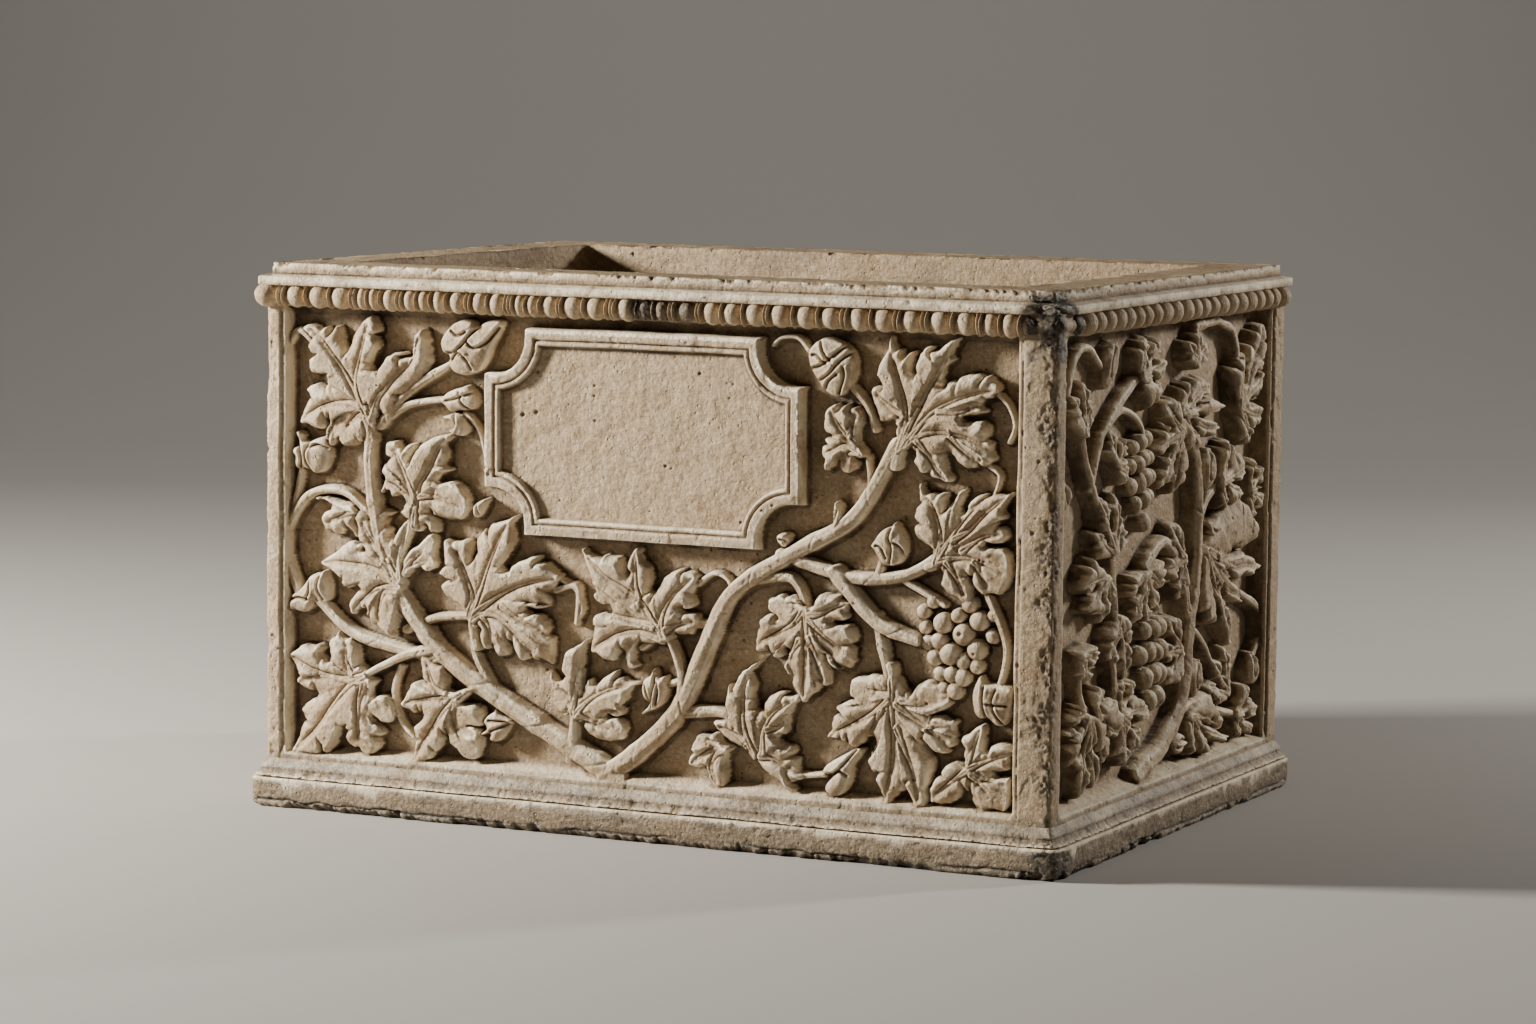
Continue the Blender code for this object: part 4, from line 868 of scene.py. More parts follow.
      (380, 92.3), (376, 91.5), (373, 89), (371, 85.5), (368, 87), (365, 91.5), (362, 94.5)),
     (((361, 93), (361.5, 80), (362, 68), (362.5, 55), (361, 43), (357.5, 31)), ((360.5, 82), (352, 75),
       (342, 69), (328, 61.3)), ((364, 80), (371, 75), (379, 70), (390, 63)), ((364, 68), (370, 55),
       (374, 45), (376, 33)), ((367, 82), (378, 81), (391, 85)), ((360, 84), (352, 85), (342, 86)),
      ((356, 77), (352, 68), (350, 64)), ((380, 69), (386, 71), (393, 71))),
     ((347, 86.5, 6.5), (379, 87, 5.5))),
    (((402, 51), (400.3, 56), (400, 61.5), (398.5, 63.5), (399, 66.5), (402, 67.5), (405, 70.3),
      (408.5, 72.5), (410.3, 72), (410.5, 68), (411, 64), (411, 60.5), (413, 61), (414.3, 63), (417, 64),
      (420.5, 64.3), (424, 63), (428, 59.8), (424.5, 58), (423.3, 55), (424.5, 52.3), (420, 50.5),
      (416, 49.7), (415.3, 48), (417.5, 47), (421.5, 47.7), (424.5, 47.5), (425, 42), (424, 36),
      (421.5, 31), (417, 31.7), (413, 31), (410, 29.3), (406, 31), (403.7, 35), (403, 38.5), (400, 40.5),
      (398.5, 38), (396.5, 35), (394, 33), (391, 32), (388, 31.3), (385, 32.3), (382.5, 32), (383, 35.5),
      (382.5, 39), (384, 41.3), (385.5, 44.5), (388, 46.3), (389.3, 49.3), (391.5, 52), (396, 53)),
     (((402, 52), (405, 60), (408.5, 70.5)), ((403, 51), (410, 54.3), (418, 57.5), (426, 60)), ((403, 50),
       (397, 46), (390, 40.5), (384, 35)), ((405, 48), (411, 43), (416, 38), (421, 32)), ((406, 48),
       (413, 46), (421, 44))),
     ((413, 39, 7.5),)),
)
# A stem: its thickness at the foot and at the end, and the points it runs through.
FRONT_STEMS = (
    (11, 7, (203, 32), (221, 45), (243, 68), (258, 100), (274, 130), (310, 153), (340, 172), (362, 208)),
    (12, 6, (208, 30), (165, 52), (115, 80), (90, 103), (73, 130), (63, 175), (63, 206)),
    (7, 5, (110, 84), (75, 88), (50, 95), (32, 110)),
    (6, 4, (18, 115), (10, 140), (24, 164), (45, 168), (62, 157)),
    (4, 4, (15, 156), (20, 180)),
    (6, 4, (68, 204), (85, 222), (112, 238)),
    (5, 3, (66, 203), (85, 215), (112, 219)),
    (5, 4, (84, 98), (102, 105), (122, 107)),
    (5, 4, (134, 72), (125, 88), (123, 106)),
    (4, 3, (172, 124), (184, 126), (184, 108)),
    (6, 5, (181, 38), (184, 66)),
    (4, 4, (228, 78), (244, 82)),
    (6, 5, (243, 66), (270, 67), (286, 48)),
    (5, 4, (262, 112), (240, 110), (222, 98)),
    (6, 4, (283, 136), (305, 138), (314, 124)),
    (7, 6, (300, 150), (335, 141), (365, 143), (384, 153)),
    (9, 6, (330, 142), (352, 120), (374, 112)),
    (6, 5, (352, 122), (361, 84)),
    (5, 4, (352, 142), (356, 154)),
    (4, 4, (349, 215), (345, 226), (334, 238)),
    (4, 3, (322, 160), (345, 178), (346, 201)),
    (4, 3, (408, 142), (421, 112), (417, 88)),
    (4, 3, (362, 143), (388, 130)),
    (4, 3, (300, 38), (324, 41)),
    (3, 2, (118, 212), (126, 204), (130, 190)),
    (3.5, 2.5, (80, 78), (76, 65), (80, 50), (88, 42)),
    (3, 2, (175, 129), (183, 125), (187, 115), (183, 108)),
    (3.5, 2.5, (253, 132), (262, 138), (270, 135), (272, 127)),
    (3, 2, (313, 252), (307, 258), (298, 258), (293, 254)),
    (3, 2, (410, 200), (416, 195), (413, 185)),
    (3, 2.5, (412, 237), (420, 230), (424, 220), (421, 212)),
    (5, 3, (10, 240), (18, 251), (26, 246)),
)
# A bud: its outline and the folds between its petals.
FRONT_BUDS = (
    (((17, 198), (20, 197), (20.5, 194), (24, 193), (29, 195), (34, 195.5), (37, 191), (37, 185),
      (34.5, 179), (30, 176.7), (26, 177.7), (22, 179), (18, 178.3), (16, 182), (16, 185), (14.5, 187),
      (15.5, 189.5), (18.3, 190.7), (19, 193)),
     (((26, 194), (23, 188), (24, 182), (27, 177)), ((19, 178), (21, 184), (19, 190)), ((25, 190),
       (30, 192), (36, 190)))),
    (((105, 243), (103.5, 248), (106, 253), (111, 258), (117, 260.3), (122, 259.5), (125, 257),
      (130, 259.7), (136, 261), (139.5, 259.5), (137.5, 253), (134, 247), (131, 240), (127, 234.5),
      (121, 231.7), (115, 231.7), (110, 234), (108.3, 238), (109, 241)),
     (((106, 243.5), (111, 243), (117, 247), (122, 253), (127, 257)), ((110, 238), (114, 243), (119, 240),
       (122, 235)), ((119, 250), (124, 246), (131, 249), (138, 257)), ((109, 255), (114, 252), (119, 254)))),
    (((104, 218), (107, 222), (111, 224), (115, 225), (118, 226.3), (121, 225), (124, 222), (125.5, 218),
      (124, 214.5), (119, 213.5), (114, 213.3), (110, 212.3), (107, 215)),
     (((106, 218), (112, 219), (118, 221), (123, 223)), ((115, 224), (117, 218), (121, 214.5)))),
    (((104.5, 209.3), (108, 210.7), (112, 212), (117, 211), (120, 207), (120, 203), (117, 200.3),
      (112.5, 200.7), (109, 202.7), (111.5, 205), (110.5, 208)),
     (((112, 212), (113.5, 207), (111, 203)),)),
    (((228, 87.5), (226, 84), (223, 82), (221.5, 78), (222, 73), (225, 70), (225, 68), (220.5, 63.7),
      (224, 65), (228, 66.5), (231, 68), (234.5, 71), (236, 75), (236, 80), (234, 84), (231, 83),
      (229.5, 84)),
     (((228, 86), (229, 80), (228, 74), (227, 68)), ((223, 80), (225, 75), (226, 70)), ((230, 82),
       (231.5, 76), (230, 70)))),
    (((312.5, 250), (314, 254), (318, 257.5), (323, 259), (329, 257.5), (334, 255), (337.5, 250.5),
      (338.5, 245), (337.5, 238), (335, 233.5), (331, 230.7), (327, 230.3), (324, 231.5), (321, 234),
      (317, 239), (314, 244)),
     (((313, 243), (320, 245), (327, 250), (334, 256)), ((318, 237), (325, 241), (330, 247), (336, 252)),
      ((319, 258), (321, 253), (325, 248)), ((322, 233), (325, 238), (329, 241)), ((332, 246), (333, 240),
       (330, 232)), ((314, 250), (318, 250), (322, 247)))),
    (((348, 157.3), (350, 155.3), (353, 150), (356, 148), (361, 148.5), (365, 150.5), (367, 156),
      (366.5, 161.5), (363.5, 166.5), (360.5, 169.5), (359, 167.7), (355, 166.3), (352, 163.7),
      (349.5, 160)),
     (((359, 168), (358, 162), (360, 157), (359, 150)), ((350, 158), (354, 157), (357, 152)), ((360, 160),
       (364, 158), (366, 154)))),
    (((404, 84), (404, 88.5), (406, 94), (408, 97), (411, 93.5), (415, 93.3), (420, 93), (424.5, 92),
      (426, 88), (424.5, 82), (423, 76), (420, 73), (416, 73), (412, 76.5), (408, 75.7), (405, 78.5)),
     (((410, 93), (410, 85), (411, 77)), ((417, 92), (415, 86), (416, 80), (420, 74)), ((411, 83.5),
       (416, 83), (422, 83)))),
    (((323.5, 43), (325.5, 46.5), (330, 49.5), (336, 53), (342, 56), (345, 55.5), (343, 51), (340, 47),
      (339, 41), (337, 35.5), (333, 31.3), (328.5, 31), (325, 33.5), (325.5, 37), (329, 41), (326, 41.5)),
     (((326, 42), (331, 43), (336, 48), (342, 55)), ((329, 41), (333, 44), (337, 42)))),
    (((130, 52.5), (130.5, 54.5), (133, 57), (136, 59), (136.7, 62), (138, 59), (142, 56.7), (147, 55),
      (145, 51.5), (143, 48), (140, 44.3), (136, 43), (133.3, 44.3), (133.7, 47), (127.5, 46),
      (131.5, 49.5)),
     (((133, 48), (138, 50), (145, 53)), ((132, 54), (138, 54), (144, 54)))),
    (((13, 104), (13, 108), (15, 112), (19, 115), (22, 118), (25, 122), (28, 124), (31, 124), (34, 126),
      (36, 122), (37.5, 117), (37, 111), (34, 109), (30, 110), (28, 107), (24, 103.5), (20, 103), (16, 104)),
     (((13, 109), (19, 111), (25, 110)), ((25, 121), (26, 115), (24, 110)), ((32, 124), (31, 117),
       (34, 111)))),
    (((123.5, 164), (127, 167.5), (131, 168.3), (129.7, 164), (127.5, 160), (125, 158.7)),
     (((126, 166), (127, 161)),)),
    (((325, 163), (327, 168), (328, 174), (329, 178.5), (331.5, 175), (332, 169), (329.5, 164)),
     (((327, 165), (330, 174)),)),
    (((297, 157), (297, 159.5), (300, 161), (303, 160.3), (303.5, 157), (301, 153.5), (299, 154.5)),
     (((298, 158), (302, 157)),)),
)
# Stalks are stems that lie on top of the leaves.
FRONT_STALKS = (
    (5.5, 1.6, (98, 88), (85, 85), (74, 80), (61, 73), (50, 63), (41, 53)),
    (4.5, 1.6, (134, 68), (128, 71), (120, 67), (112, 58)),
    (4.6, 2.0, (244, 76), (244, 86), (240, 97), (236, 104), (228, 110)),
    (4.4, 1.4, (126, 92), (123, 106), (128, 120), (133, 132)),
    (5.0, 1.6, (182, 46), (183, 58), (184, 72)),
    (5.0, 1.5, (360, 98), (361, 93), (360, 78), (358.5, 62)),
    (5.4, 1.6, (380, 149), (384, 151), (392, 160), (398, 168)),
    (6.0, 1.8, (361, 198), (363, 204), (370, 214), (382, 223)),
    (5.0, 1.6, (63, 196), (62, 203), (57, 214), (50, 226)),
)
# A grape: its place and radius.
FRONT_BERRIES = (
    (375, 126, 3.8), (380, 131, 3.4), (386, 121, 5.2), (376, 118, 3.4), (378, 111, 4.0), (384, 112, 4.4),
    (394, 125, 3.8), (400, 131, 4.4), (405, 123, 5.2), (397, 116, 5.6), (412, 116, 4.0), (404, 109, 5.2),
    (382, 104, 4.6), (390, 106, 5.6), (397, 103, 4.2), (404, 101, 4.0), (385, 96, 4.0), (391, 96, 4.2),
    (397, 95, 4.6), (387, 89, 3.6), (393, 88, 4.4), (412, 126, 3.4),
)

STEM_SHIFT, LEAF_SHIFT = (-1.8, -0.3), (-1.0, -0.2)
BUNCH_MIDDLE = 392
TABLET_WIDTH, TABLET_HEIGHT, TABLET_OFF_MIDDLE, TABLET_DOWN = 179.0, 105.5, 3.5, 3.5

front = CarvedFace(WIDTH, left=9.0, right=18.5, depth=PANEL_DEPTH, seed=100, freehand=0.15)
for number, (foot, end, *points) in enumerate(FRONT_STEMS):
    stem(front, foot, end, points, number, shift=STEM_SHIFT)
for number, (outline, ribs, rolls) in enumerate(FRONT_LEAVES):
    leaf(front, outline, ribs, rolls, seed=number, shift=LEAF_SHIFT)
for number, (foot, end, *points) in enumerate(FRONT_STALKS):
    stem(front, foot, end, points, number + 40, rise=10.2, shift=LEAF_SHIFT)
for number, (outline, folds) in enumerate(FRONT_BUDS):
    bud(front, outline, folds, seed=number, shift=LEAF_SHIFT)
for s0, z0, radius in FRONT_BERRIES:
    berry(front, s0, z0, radius, 5.4 - 0.09 * abs(s0 - BUNCH_MIDDLE))
tablet(front, WIDTH / 2 - TABLET_OFF_MIDDLE, GROUND_TOP + 0.6 - TABLET_DOWN, TABLET_WIDTH, TABLET_HEIGHT)
weather(front, pits=170, seed=900)
wear = crumble(front, WIDTH - front.s, reach=9, deep=1.3, seed=930)
crumble(front, front.s, reach=4, deep=1.0, seed=935)
soot = blotches(front.s, front.z, broad=12, fine=4, seed=940)
front.stain = 0.26 * blend_in(front.s, WIDTH - 19, WIDTH - 16) + 0.42 * wear * blend_in(soot, -0.8, 0.3)
front.stain += blend_in(front.s + 5 * soot, WIDTH - 16, WIDTH - 7) * blend_in(front.z + 6 * soot, 250, 258)
front.stain += 0.6 * blend_in(front.z, 259, 264) * blend_in(np.abs(front.s - 234 + 3 * soot), 24, 14)
front.stain += 0.3 * blend_in(soot, 0.5, 1.1) * blend_in(front.z, 60, 30) + 0.36 * blend_in(front.z, 30, 28)
front.stain = np.clip(front.stain, 0, 1)
front_place = lambda s, out: (s - WIDTH / 2, -DEPTH / 2 - out)
stone = marble("marble")
front_corners = ("front_left", "front_right")
for name, part in (("carved_front_left", (0.0, 0.5025)), ("carved_front_right", (0.4975, 1.0))):
    hand_in(face_mesh(name, front, front_corners, front_place, False, MOST_TRIANGLES, part), stone)

# The carved right side
# The short side that the camera sees at a slant. The same vine is cut into it as into the front,
# to the same depth, with no tablet between the leaves.
# A leaf: the joint where its ribs meet, and the tips of its lobes.
SIDE_LEAVES = (
    ((44, 213), (28, 236), (41, 242), (54, 230)),
    ((120, 236), (128, 257), (150, 256), (160, 244), (152, 230)),
    ((198, 238), (186, 252), (202, 259), (213, 250)),
    ((176, 216), (190, 230), (222, 227), (247, 213), (238, 202), (208, 196)),
    ((262, 212), (270, 242), (300, 255), (306, 226), (304, 204), (284, 192)),
    ((236, 174), (250, 196), (278, 180), (274, 166), (250, 160)),
    ((282, 166), (290, 184), (306, 176), (304, 158), (290, 148)),
    ((214, 140), (306, 122), (298, 139), (278, 106), (262, 84), (234, 100)),
    ((84, 150), (64, 182), (90, 181), (98, 166), (62, 163)),
    ((78, 140), (46, 138), (52, 126), (72, 117), (84, 124)),
    ((130, 138), (158, 126), (154, 114), (136, 111), (116, 112), (112, 126)),
    ((44, 104), (68, 98), (58, 88), (48, 90)),
    ((54, 74), (36, 74), (34, 50), (46, 32), (66, 34), (80, 46)),
    ((62, 76), (78, 82), (103, 58), (84, 50)),
    ((98, 68), (104, 86), (122, 82), (140, 66), (130, 48), (110, 40)),
    ((196, 54), (206, 33), (230, 33), (250, 40), (264, 34)),
    ((268, 46), (282, 33), (300, 32), (306, 45), (292, 58)),
    ((252, 60), (232, 80), (250, 86), (226, 66)),
    ((176, 206), (154, 222), (143, 200), (150, 178), (168, 174)),
    ((186, 140), (166, 158), (162, 134), (178, 118)),
    ((184, 92), (166, 110), (160, 92), (168, 74)),
    ((96, 118), (112, 102), (106, 84), (82, 96)),
    ((88, 196), (106, 188), (100, 208), (78, 214)),
    ((232, 134), (224, 154), (246, 156), (258, 136), (240, 116)),
)
SIDE_STEMS = (
    (12, 7, (128, 32), (165, 44), (190, 66), (198, 100), (207, 145), (202, 188), (172, 213)),
    (8, 6, (198, 106), (188, 128), (160, 150), (134, 140)),
    (7, 5, (98, 66), (92, 95), (92, 125), (84, 150), (62, 182), (50, 200), (45, 214)),
    (6, 5, (58, 186), (72, 208), (98, 226), (122, 237)),
    (5, 4, (28, 236), (38, 252), (56, 256), (78, 240)),
    (5, 4, (74, 211), (100, 222), (124, 214), (131, 204)),
    (6, 4, (204, 258), (236, 259), (262, 246), (263, 211)),
    (5, 4, (208, 152), (226, 166), (238, 174)),
    (5, 4, (280, 110), (306, 100), (310, 86), (298, 72)),
    (6, 5, (186, 58), (214, 58), (268, 46)),
    (5, 3, (199, 104), (216, 96), (236, 78)),
    (5, 4, (66, 72), (52, 80), (44, 104)),
)
# A bud: its place, length, width and direction in degrees.
SIDE_BUDS = (
    (80, 246, 26, 16, 60),
    (22, 186, 15, 12, 90),
    (186, 42, 22, 12, 0),
    (209, 73, 22, 16, 70),
    (222, 182, 22, 16, 80),
    (297, 68, 18, 15, 90),
)
# A bunch: its top, its foot and the number of grapes in each row.
SIDE_BUNCHES = (
    ((126, 203), (132, 163), (3, 4, 4, 3, 1)),
    ((148, 106), (150, 70), (3, 4, 3, 2)),
)


def bunch(face, top, foot, rows, seed):
    """Grapes in rows that bulge in the middle."""
    random = np.random.default_rng(seed)
    top, foot = np.array(top, float), np.array(foot, float)
    axis = foot - top
    gap = np.hypot(*axis) / (len(rows) - 0.4)
    across = np.array([-axis[1], axis[0]]) / np.hypot(*axis)
    for i, count in enumerate(rows):
        for k in range(count):
            off = k - (count - 1) / 2
            middle = top + axis * i / (len(rows) - 1) + across * off * gap * 0.98
            middle = middle + random.uniform(-0.9, 0.9, 2)
            berry(face, middle[0], middle[1], gap * random.uniform(0.50, 0.60), 5.6 - 0.9 * abs(off))


def grown_outline(joint, tips, seed):
    """Outline and ribs of a leaf with one lobe to each tip, two teeth on each side of it."""
    random = np.random.default_rng(seed)
    joint = np.array(joint, float)
    tips = sorted(tips, key=lambda tip: math.atan2(tip[1] - joint[1], tip[0] - joint[0]))
    rays = [np.array(tip, float) - joint for tip in tips]
    lengths = [float(np.hypot(*ray)) for ray in rays]
    angles = [math.atan2(ray[1], ray[0]) for ray in rays]
    gaps = [(angles[(i + 1) % len(rays)] - angles[i]) % (2 * math.pi) for i in range(len(rays))]
    outline = []
    for i, (ray, length) in enumerate(zip(rays, lengths)):
        along = ray / length
        across = np.array((-along[1], along[0]))
        rows = ((0.48, 0.95), (0.60, 1.05), (0.67, 0.76), (0.80, 0.74), (0.86, 0.46), (0.93, 0.34))
        sides = []
        for side, gap in ((-1, gaps[i - 1]), (1, gaps[i])):
            full = length * min(0.36, 0.72 * math.tan(min(gap, 1.6) / 2)) * random.uniform(0.9, 1.1)
            sides.append([joint + ray * (u + random.uniform(-0.02, 0.02)) + side * across * full * w
                          for u, w in rows])
        outline += sides[0] + [joint + ray] + sides[1][::-1]
        gap, shorter = gaps[i], min(length, lengths[(i + 1) % len(rays)])
        turn = angles[i] + gap / 2
        way = np.array((math.cos(turn), math.sin(turn)))
        if gap < 1.9:
            outline.append(joint + way * shorter * random.uniform(0.38, 0.48))
        else:
            outline.append(joint + way * 1.5)
    ribs = []
    for ray in rays:
        bend = np.array((-ray[1], ray[0])) * random.uniform(-0.06, 0.06)
        ribs.append((joint, joint + ray * 0.5 + bend, joint + ray * 0.95))
    return outline, ribs


def grown_bud(s0, z0, long, wide, degrees):
    """Outline and folds of a plain bud of this size, with its point in this direction."""
    turn = math.radians(degrees)

    def spot(a, b):
        return (s0 + a * long / 2 * math.cos(turn) - b * wide / 2 * math.sin(turn),
                z0 + a * long / 2 * math.sin(turn) + b * wide / 2 * math.cos(turn))

    outline = [spot(*p) for p in ((1, 0), (0.7, 0.42), (0.3, 0.88), (-0.2, 1.0), (-0.7, 0.75), (-1, 0.2),
                                  (-0.95, -0.35), (-0.5, -0.9), (0.05, -1.0), (0.5, -0.7), (0.8, -0.3))]
    folds = [[spot(-0.6, 0.1), spot(0, 0.45), spot(0.85, 0.1)],
             [spot(-0.7, -0.2), spot(0, -0.4), spot(0.8, -0.1)]]
    return outline, folds


def carve_side(face, seed, buds, bunches):
    """The stems and leaves of a short side, with these of its buds and bunches.

    A bunch is given by its number and the seed of its grapes.
    """
    for number, (foot, end, *points) in enumerate(SIDE_STEMS):
        stem(face, foot, end, points, number + seed)
    for number, (joint, *tips) in enumerate(SIDE_LEAVES):
        leaf(face, *grown_outline(joint, tips, number + seed), seed=number + seed, edge_width=2.2)
    for number in buds:
        bud(face, *grown_bud(*SIDE_BUDS[number]), seed=number + seed)
    for number, bunch_seed in bunches:
        bunch(face, *SIDE_BUNCHES[number], bunch_seed)


right = CarvedFace(DEPTH, left=13.0, right=14.5, depth=PANEL_DEPTH, seed=200)
carve_side(right, seed=50, buds=range(len(SIDE_BUDS)), bunches=((0, 0), (1, 1)))
weather(right, pits=100, seed=1900)
wear = crumble(right, right.s, reach=6, deep=1.3, seed=1930)
soot = blotches(right.s, right.z, broad=12, fine=4, seed=1940)
right.stain = 0.15 * blend_in(right.s, 14, 11) + 0.5 * wear * blend_in(soot, -0.8, 0.3)
right.stain += blend_in(right.s - 5 * soot, 14, 7) * blend_in(right.z + 6 * soot, 252, 260)
right.stain += 0.3 * blend_in(right.z, 30, 28) + 0.3 * blend_in(soot, 0.5, 1.1) * blend_in(right.z, 70, 30)
right.stain = np.clip(right.stain, 0, 1)
right_place = lambda s, out: (WIDTH / 2 + out, s - DEPTH / 2)
right_corners = ("front_right", "back_right")
hand_in(face_mesh("carved_right_side", right, right_corners, right_place, False, MOST_TRIANGLES), stone)

# The carved left side
# The photo does not show it. It is the mirror image of the right side, from the same tables, but
# plainer: with softer details, one bunch of grapes and two buds.
left = CarvedFace(DEPTH, left=13.0, right=14.5, depth=PANEL_DEPTH, seed=400, cell=0.7)
carve_side(left, seed=80, buds=(0, 4), bunches=((0, 9),))
weather(left, pits=90, seed=2900)
left_place = lambda s, out: (-WIDTH / 2 - out, s - DEPTH / 2)
left_corners = ("front_left", "back_left")
hand_in(face_mesh("carved_left_side", left, left_corners, left_place, True, 90000), stone)

# The plain back
# It stood against a wall, so the marble is only sunk a little between its pilasters and left as it
# came from the point chisel.
back = CarvedFace(WIDTH, left=20.0, right=20.0, depth=5.0, seed=600, cell=0.9, roll=5.3)
strokes = np.sin((back.s * 0.8 + back.z * 0.6 + 5 * drift(back.s, back.z, 30, 640)) * 1.1)
strokes = 0.28 * strokes * blend_in(drift(back.s, back.z, 26, 650), -0.2, 0.5)
inside_panel = blend_in(np.minimum(back.s - 24, WIDTH - 24 - back.s), 0, 4) * blend_in(back.z, 32, 38)
uneven_ground = strokes + 0.5 * rough(back.s, back.z, 24, 660)
back.height += inside_panel * uneven_ground * (back.z < GROUND_TOP - 2)
weather(back, pits=120, seed=3900)
back_corners = ("back_left", "back_right")
back_place = lambda s, out: (s - WIDTH / 2, DEPTH / 2 + out)
hand_in(face_mesh("plain_back", back, back_corners, back_place, True, 36000), stone)

# The plinth
# The foot of the block: a plain fascia, a groove, a small torus and a hollow slope up to the panels.
# Its lower edge has crumbled where the urn was set down and dragged.


def ring(half_x, half_y, radius, step):
    """Points round a rectangle with round corners, anticlockwise from above, and the way out."""
    places, ways = [], []
    for nx, ny, length in ((0, -1, WIDTH), (1, 0, DEPTH), (0, 1, WIDTH), (-1, 0, DEPTH)):
        tx, ty = -ny, nx
        half = (half_x if ny else half_y) - radius
        count = round(length / step)
        for k in range(count):
            run = -half + 2 * half * k / count
            places.append((nx * half_x + tx * run, ny * half_y + ty * run))
            ways.append((nx, ny))
        corner = (nx * (half_x - radius) + tx * half, ny * (half_y - radius) + ty * half)
        for k in range(8):
            turn = math.pi / 16 * k
            way = (nx * math.cos(turn) + tx * math.sin(turn), ny * math.cos(turn) + ty * math.sin(turn))
            places.append((corner[0] + radius * way[0], corner[1] + radius * way[1]))
            ways.append(way)
    return np.array(places), np.array(ways)


def fine_profile(points, step):
    """The drawn section with points about one step apart."""
    fine = []
    for (a, b), (c, d) in zip(points, points[1:]):
        count = max(1, int(round(math.hypot(c - a, d - b) / step)))
        fine += [(a + (c - a) * k / count, b + (d - b) * k / count) for k in range(count)]
    return np.array(fine + [points[-1]])


def chipped(out, z, corner_out, corner_z, lift, chip):
    """Cuts an edge of the section back to a slanting break of this size."""
    excess = (out - corner_out) + lift * (z - corner_z) + chip
    excess = np.clip(excess, 0, None) * (np.abs(out - corner_out) < 6) * (np.abs(z - corner_z) < 6)
    return out - excess / 2, z - lift * excess / 2


def chips(run, size, seed, worn, deepest, share):
    """Size of the break along an edge: a little wear everywhere and chips here and there."""
    base = worn * (1 + 0.7 * drift(run, run * 0, 4, seed) + 0.6 * drift(run, run * 0, 1.6, seed + 4))
    uneven = drift(run, run * 0, size, seed + 1) + 0.3 * drift(run, run * 0, size / 4, seed + 5)
    flakes = blend_in(uneven, share, share + 0.08)
    return base + deepest * flakes * (0.6 + 0.4 * drift(run, run * 0, size / 5, seed + 2))


def moulding(section, radius_at, edges, seed, step):
    """A moulding carried round the block, chipped along its edges."""
    rings_at = [ring(WIDTH / 2 + out, DEPTH / 2 + out, radius_at(z), step) for out, z in section]
    base = np.stack([places for places, _ in rings_at])
    ways = np.stack([way for _, way in rings_at])
    run = np.cumsum(np.hypot(*(np.roll(base[0], -1, 0) - base[0]).T))
    run = np.broadcast_to(run, base.shape[:2])
    out = np.repeat(section[:, :1], base.shape[1], 1)
    z = np.repeat(section[:, 1:], base.shape[1], 1)
    new_out = out + 0.16 * rough(run, z, 10, seed) + 0.22 * drift(run, z * 0, 46, seed + 3)
    new_z = z + 0.18 * drift(run, out * 0, 38, seed + 4)
    for corner_out, corner_z, lift, size, worn, deepest, share in edges:
        chip = chips(run, size, seed + int(corner_z * 7), worn, deepest, share)
        new_out, new_z = chipped(new_out, new_z, corner_out, corner_z, lift, chip)
    return base, ways, out, new_out, new_z, run


def drawn_in(edge, share):
    """The rectangle of an edge drawn in to this share of its depth, for a flat underside or floor."""
    row = edge.copy()
    row[:, 0] = np.sign(row[:, 0]) * np.maximum(np.abs(row[:, 0]) - (1 - share) * DEPTH / 2, 0)
    row[:, 1] *= share
    return row


plinth_section = fine_profile((
    (-6.0, 0.0), (5.4, 0.0), (6.5, 0.8), (6.75, 2.0), (6.75, 14.6), (6.5, 15.2), (5.6, 15.4), (4.2, 15.5),
    (3.5, 16.0), (4.7, 16.2), (5.9, 16.6), (6.5, 17.5), (6.4, 18.6), (5.6, 19.3), (4.2, 19.5), (3.9, 19.9),
    (4.0, 20.4), (2.8, 21.6), (1.6, 23.0), (0.8, 24.4), (0.5, 25.1), (-0.2, 25.3), (-3.5, 25.4)), 0.7)
# An edge: out, up, the way its break slants, then the length, wear, depth and rarity of its chips.
plinth_edges = ((6.75, 0.0, -1.0, 26.0, 1.6, 2.6, -0.1), (6.75, 15.2, 1.0, 7.0, 0.25, 1.1, 0.6),
                (6.4, 19.2, 1.0, 5.0, 0.2, 0.9, 0.6))
base, ways, out, new_out, new_z, run = moulding(
    plinth_section, lambda z: 6.0 if z < 19 else 3.0, plinth_edges, seed=5000, step=0.9)
pocks = blend_in(rough(run, new_z * 1.3, 4, 5060), 0.46, 0.56) * 0.4 + 0.11 * rough(run, new_z, 2.6, 5061)
crack = np.exp(-((new_z - 3.6 - 1.1 * rough(run, run * 0, 9, 5062)) / 0.45) ** 2)
crack = crack * blend_in(drift(run, run * 0, 24, 5063), -0.5, 0.1)
corner_away = np.hypot(base[..., 0] - WIDTH / 2 - 6, base[..., 1] + DEPTH / 2 + 6)
crumbled = blend_in(corner_away, 16, 3) * (0.6 + 1.1 * np.abs(rough(run, new_z, 4, 5064)))
new_out = np.minimum(new_out - (pocks + 1.3 * crack + 1.4 * crumbled) * (out > 3), PLINTH_PROJECTION)
new_z = np.maximum(new_z, 0.0)
places = base + ways * (new_out - out)[..., None]
points = np.concatenate([places, new_z[..., None]], axis=-1)
under = []
for share in (0.94, 0.8, 0.55, 0.3, 0.12, 0.0):
    row = drawn_in(points[0], share)
    row[:, 2] = 0.25 * (1 + rough(row[:, 0], row[:, 1], 17, 5050))
    under.append(row)
points = np.concatenate([np.stack(under[::-1]), points])
grime = blotches(run, new_z, broad=14, fine=5, seed=5070)
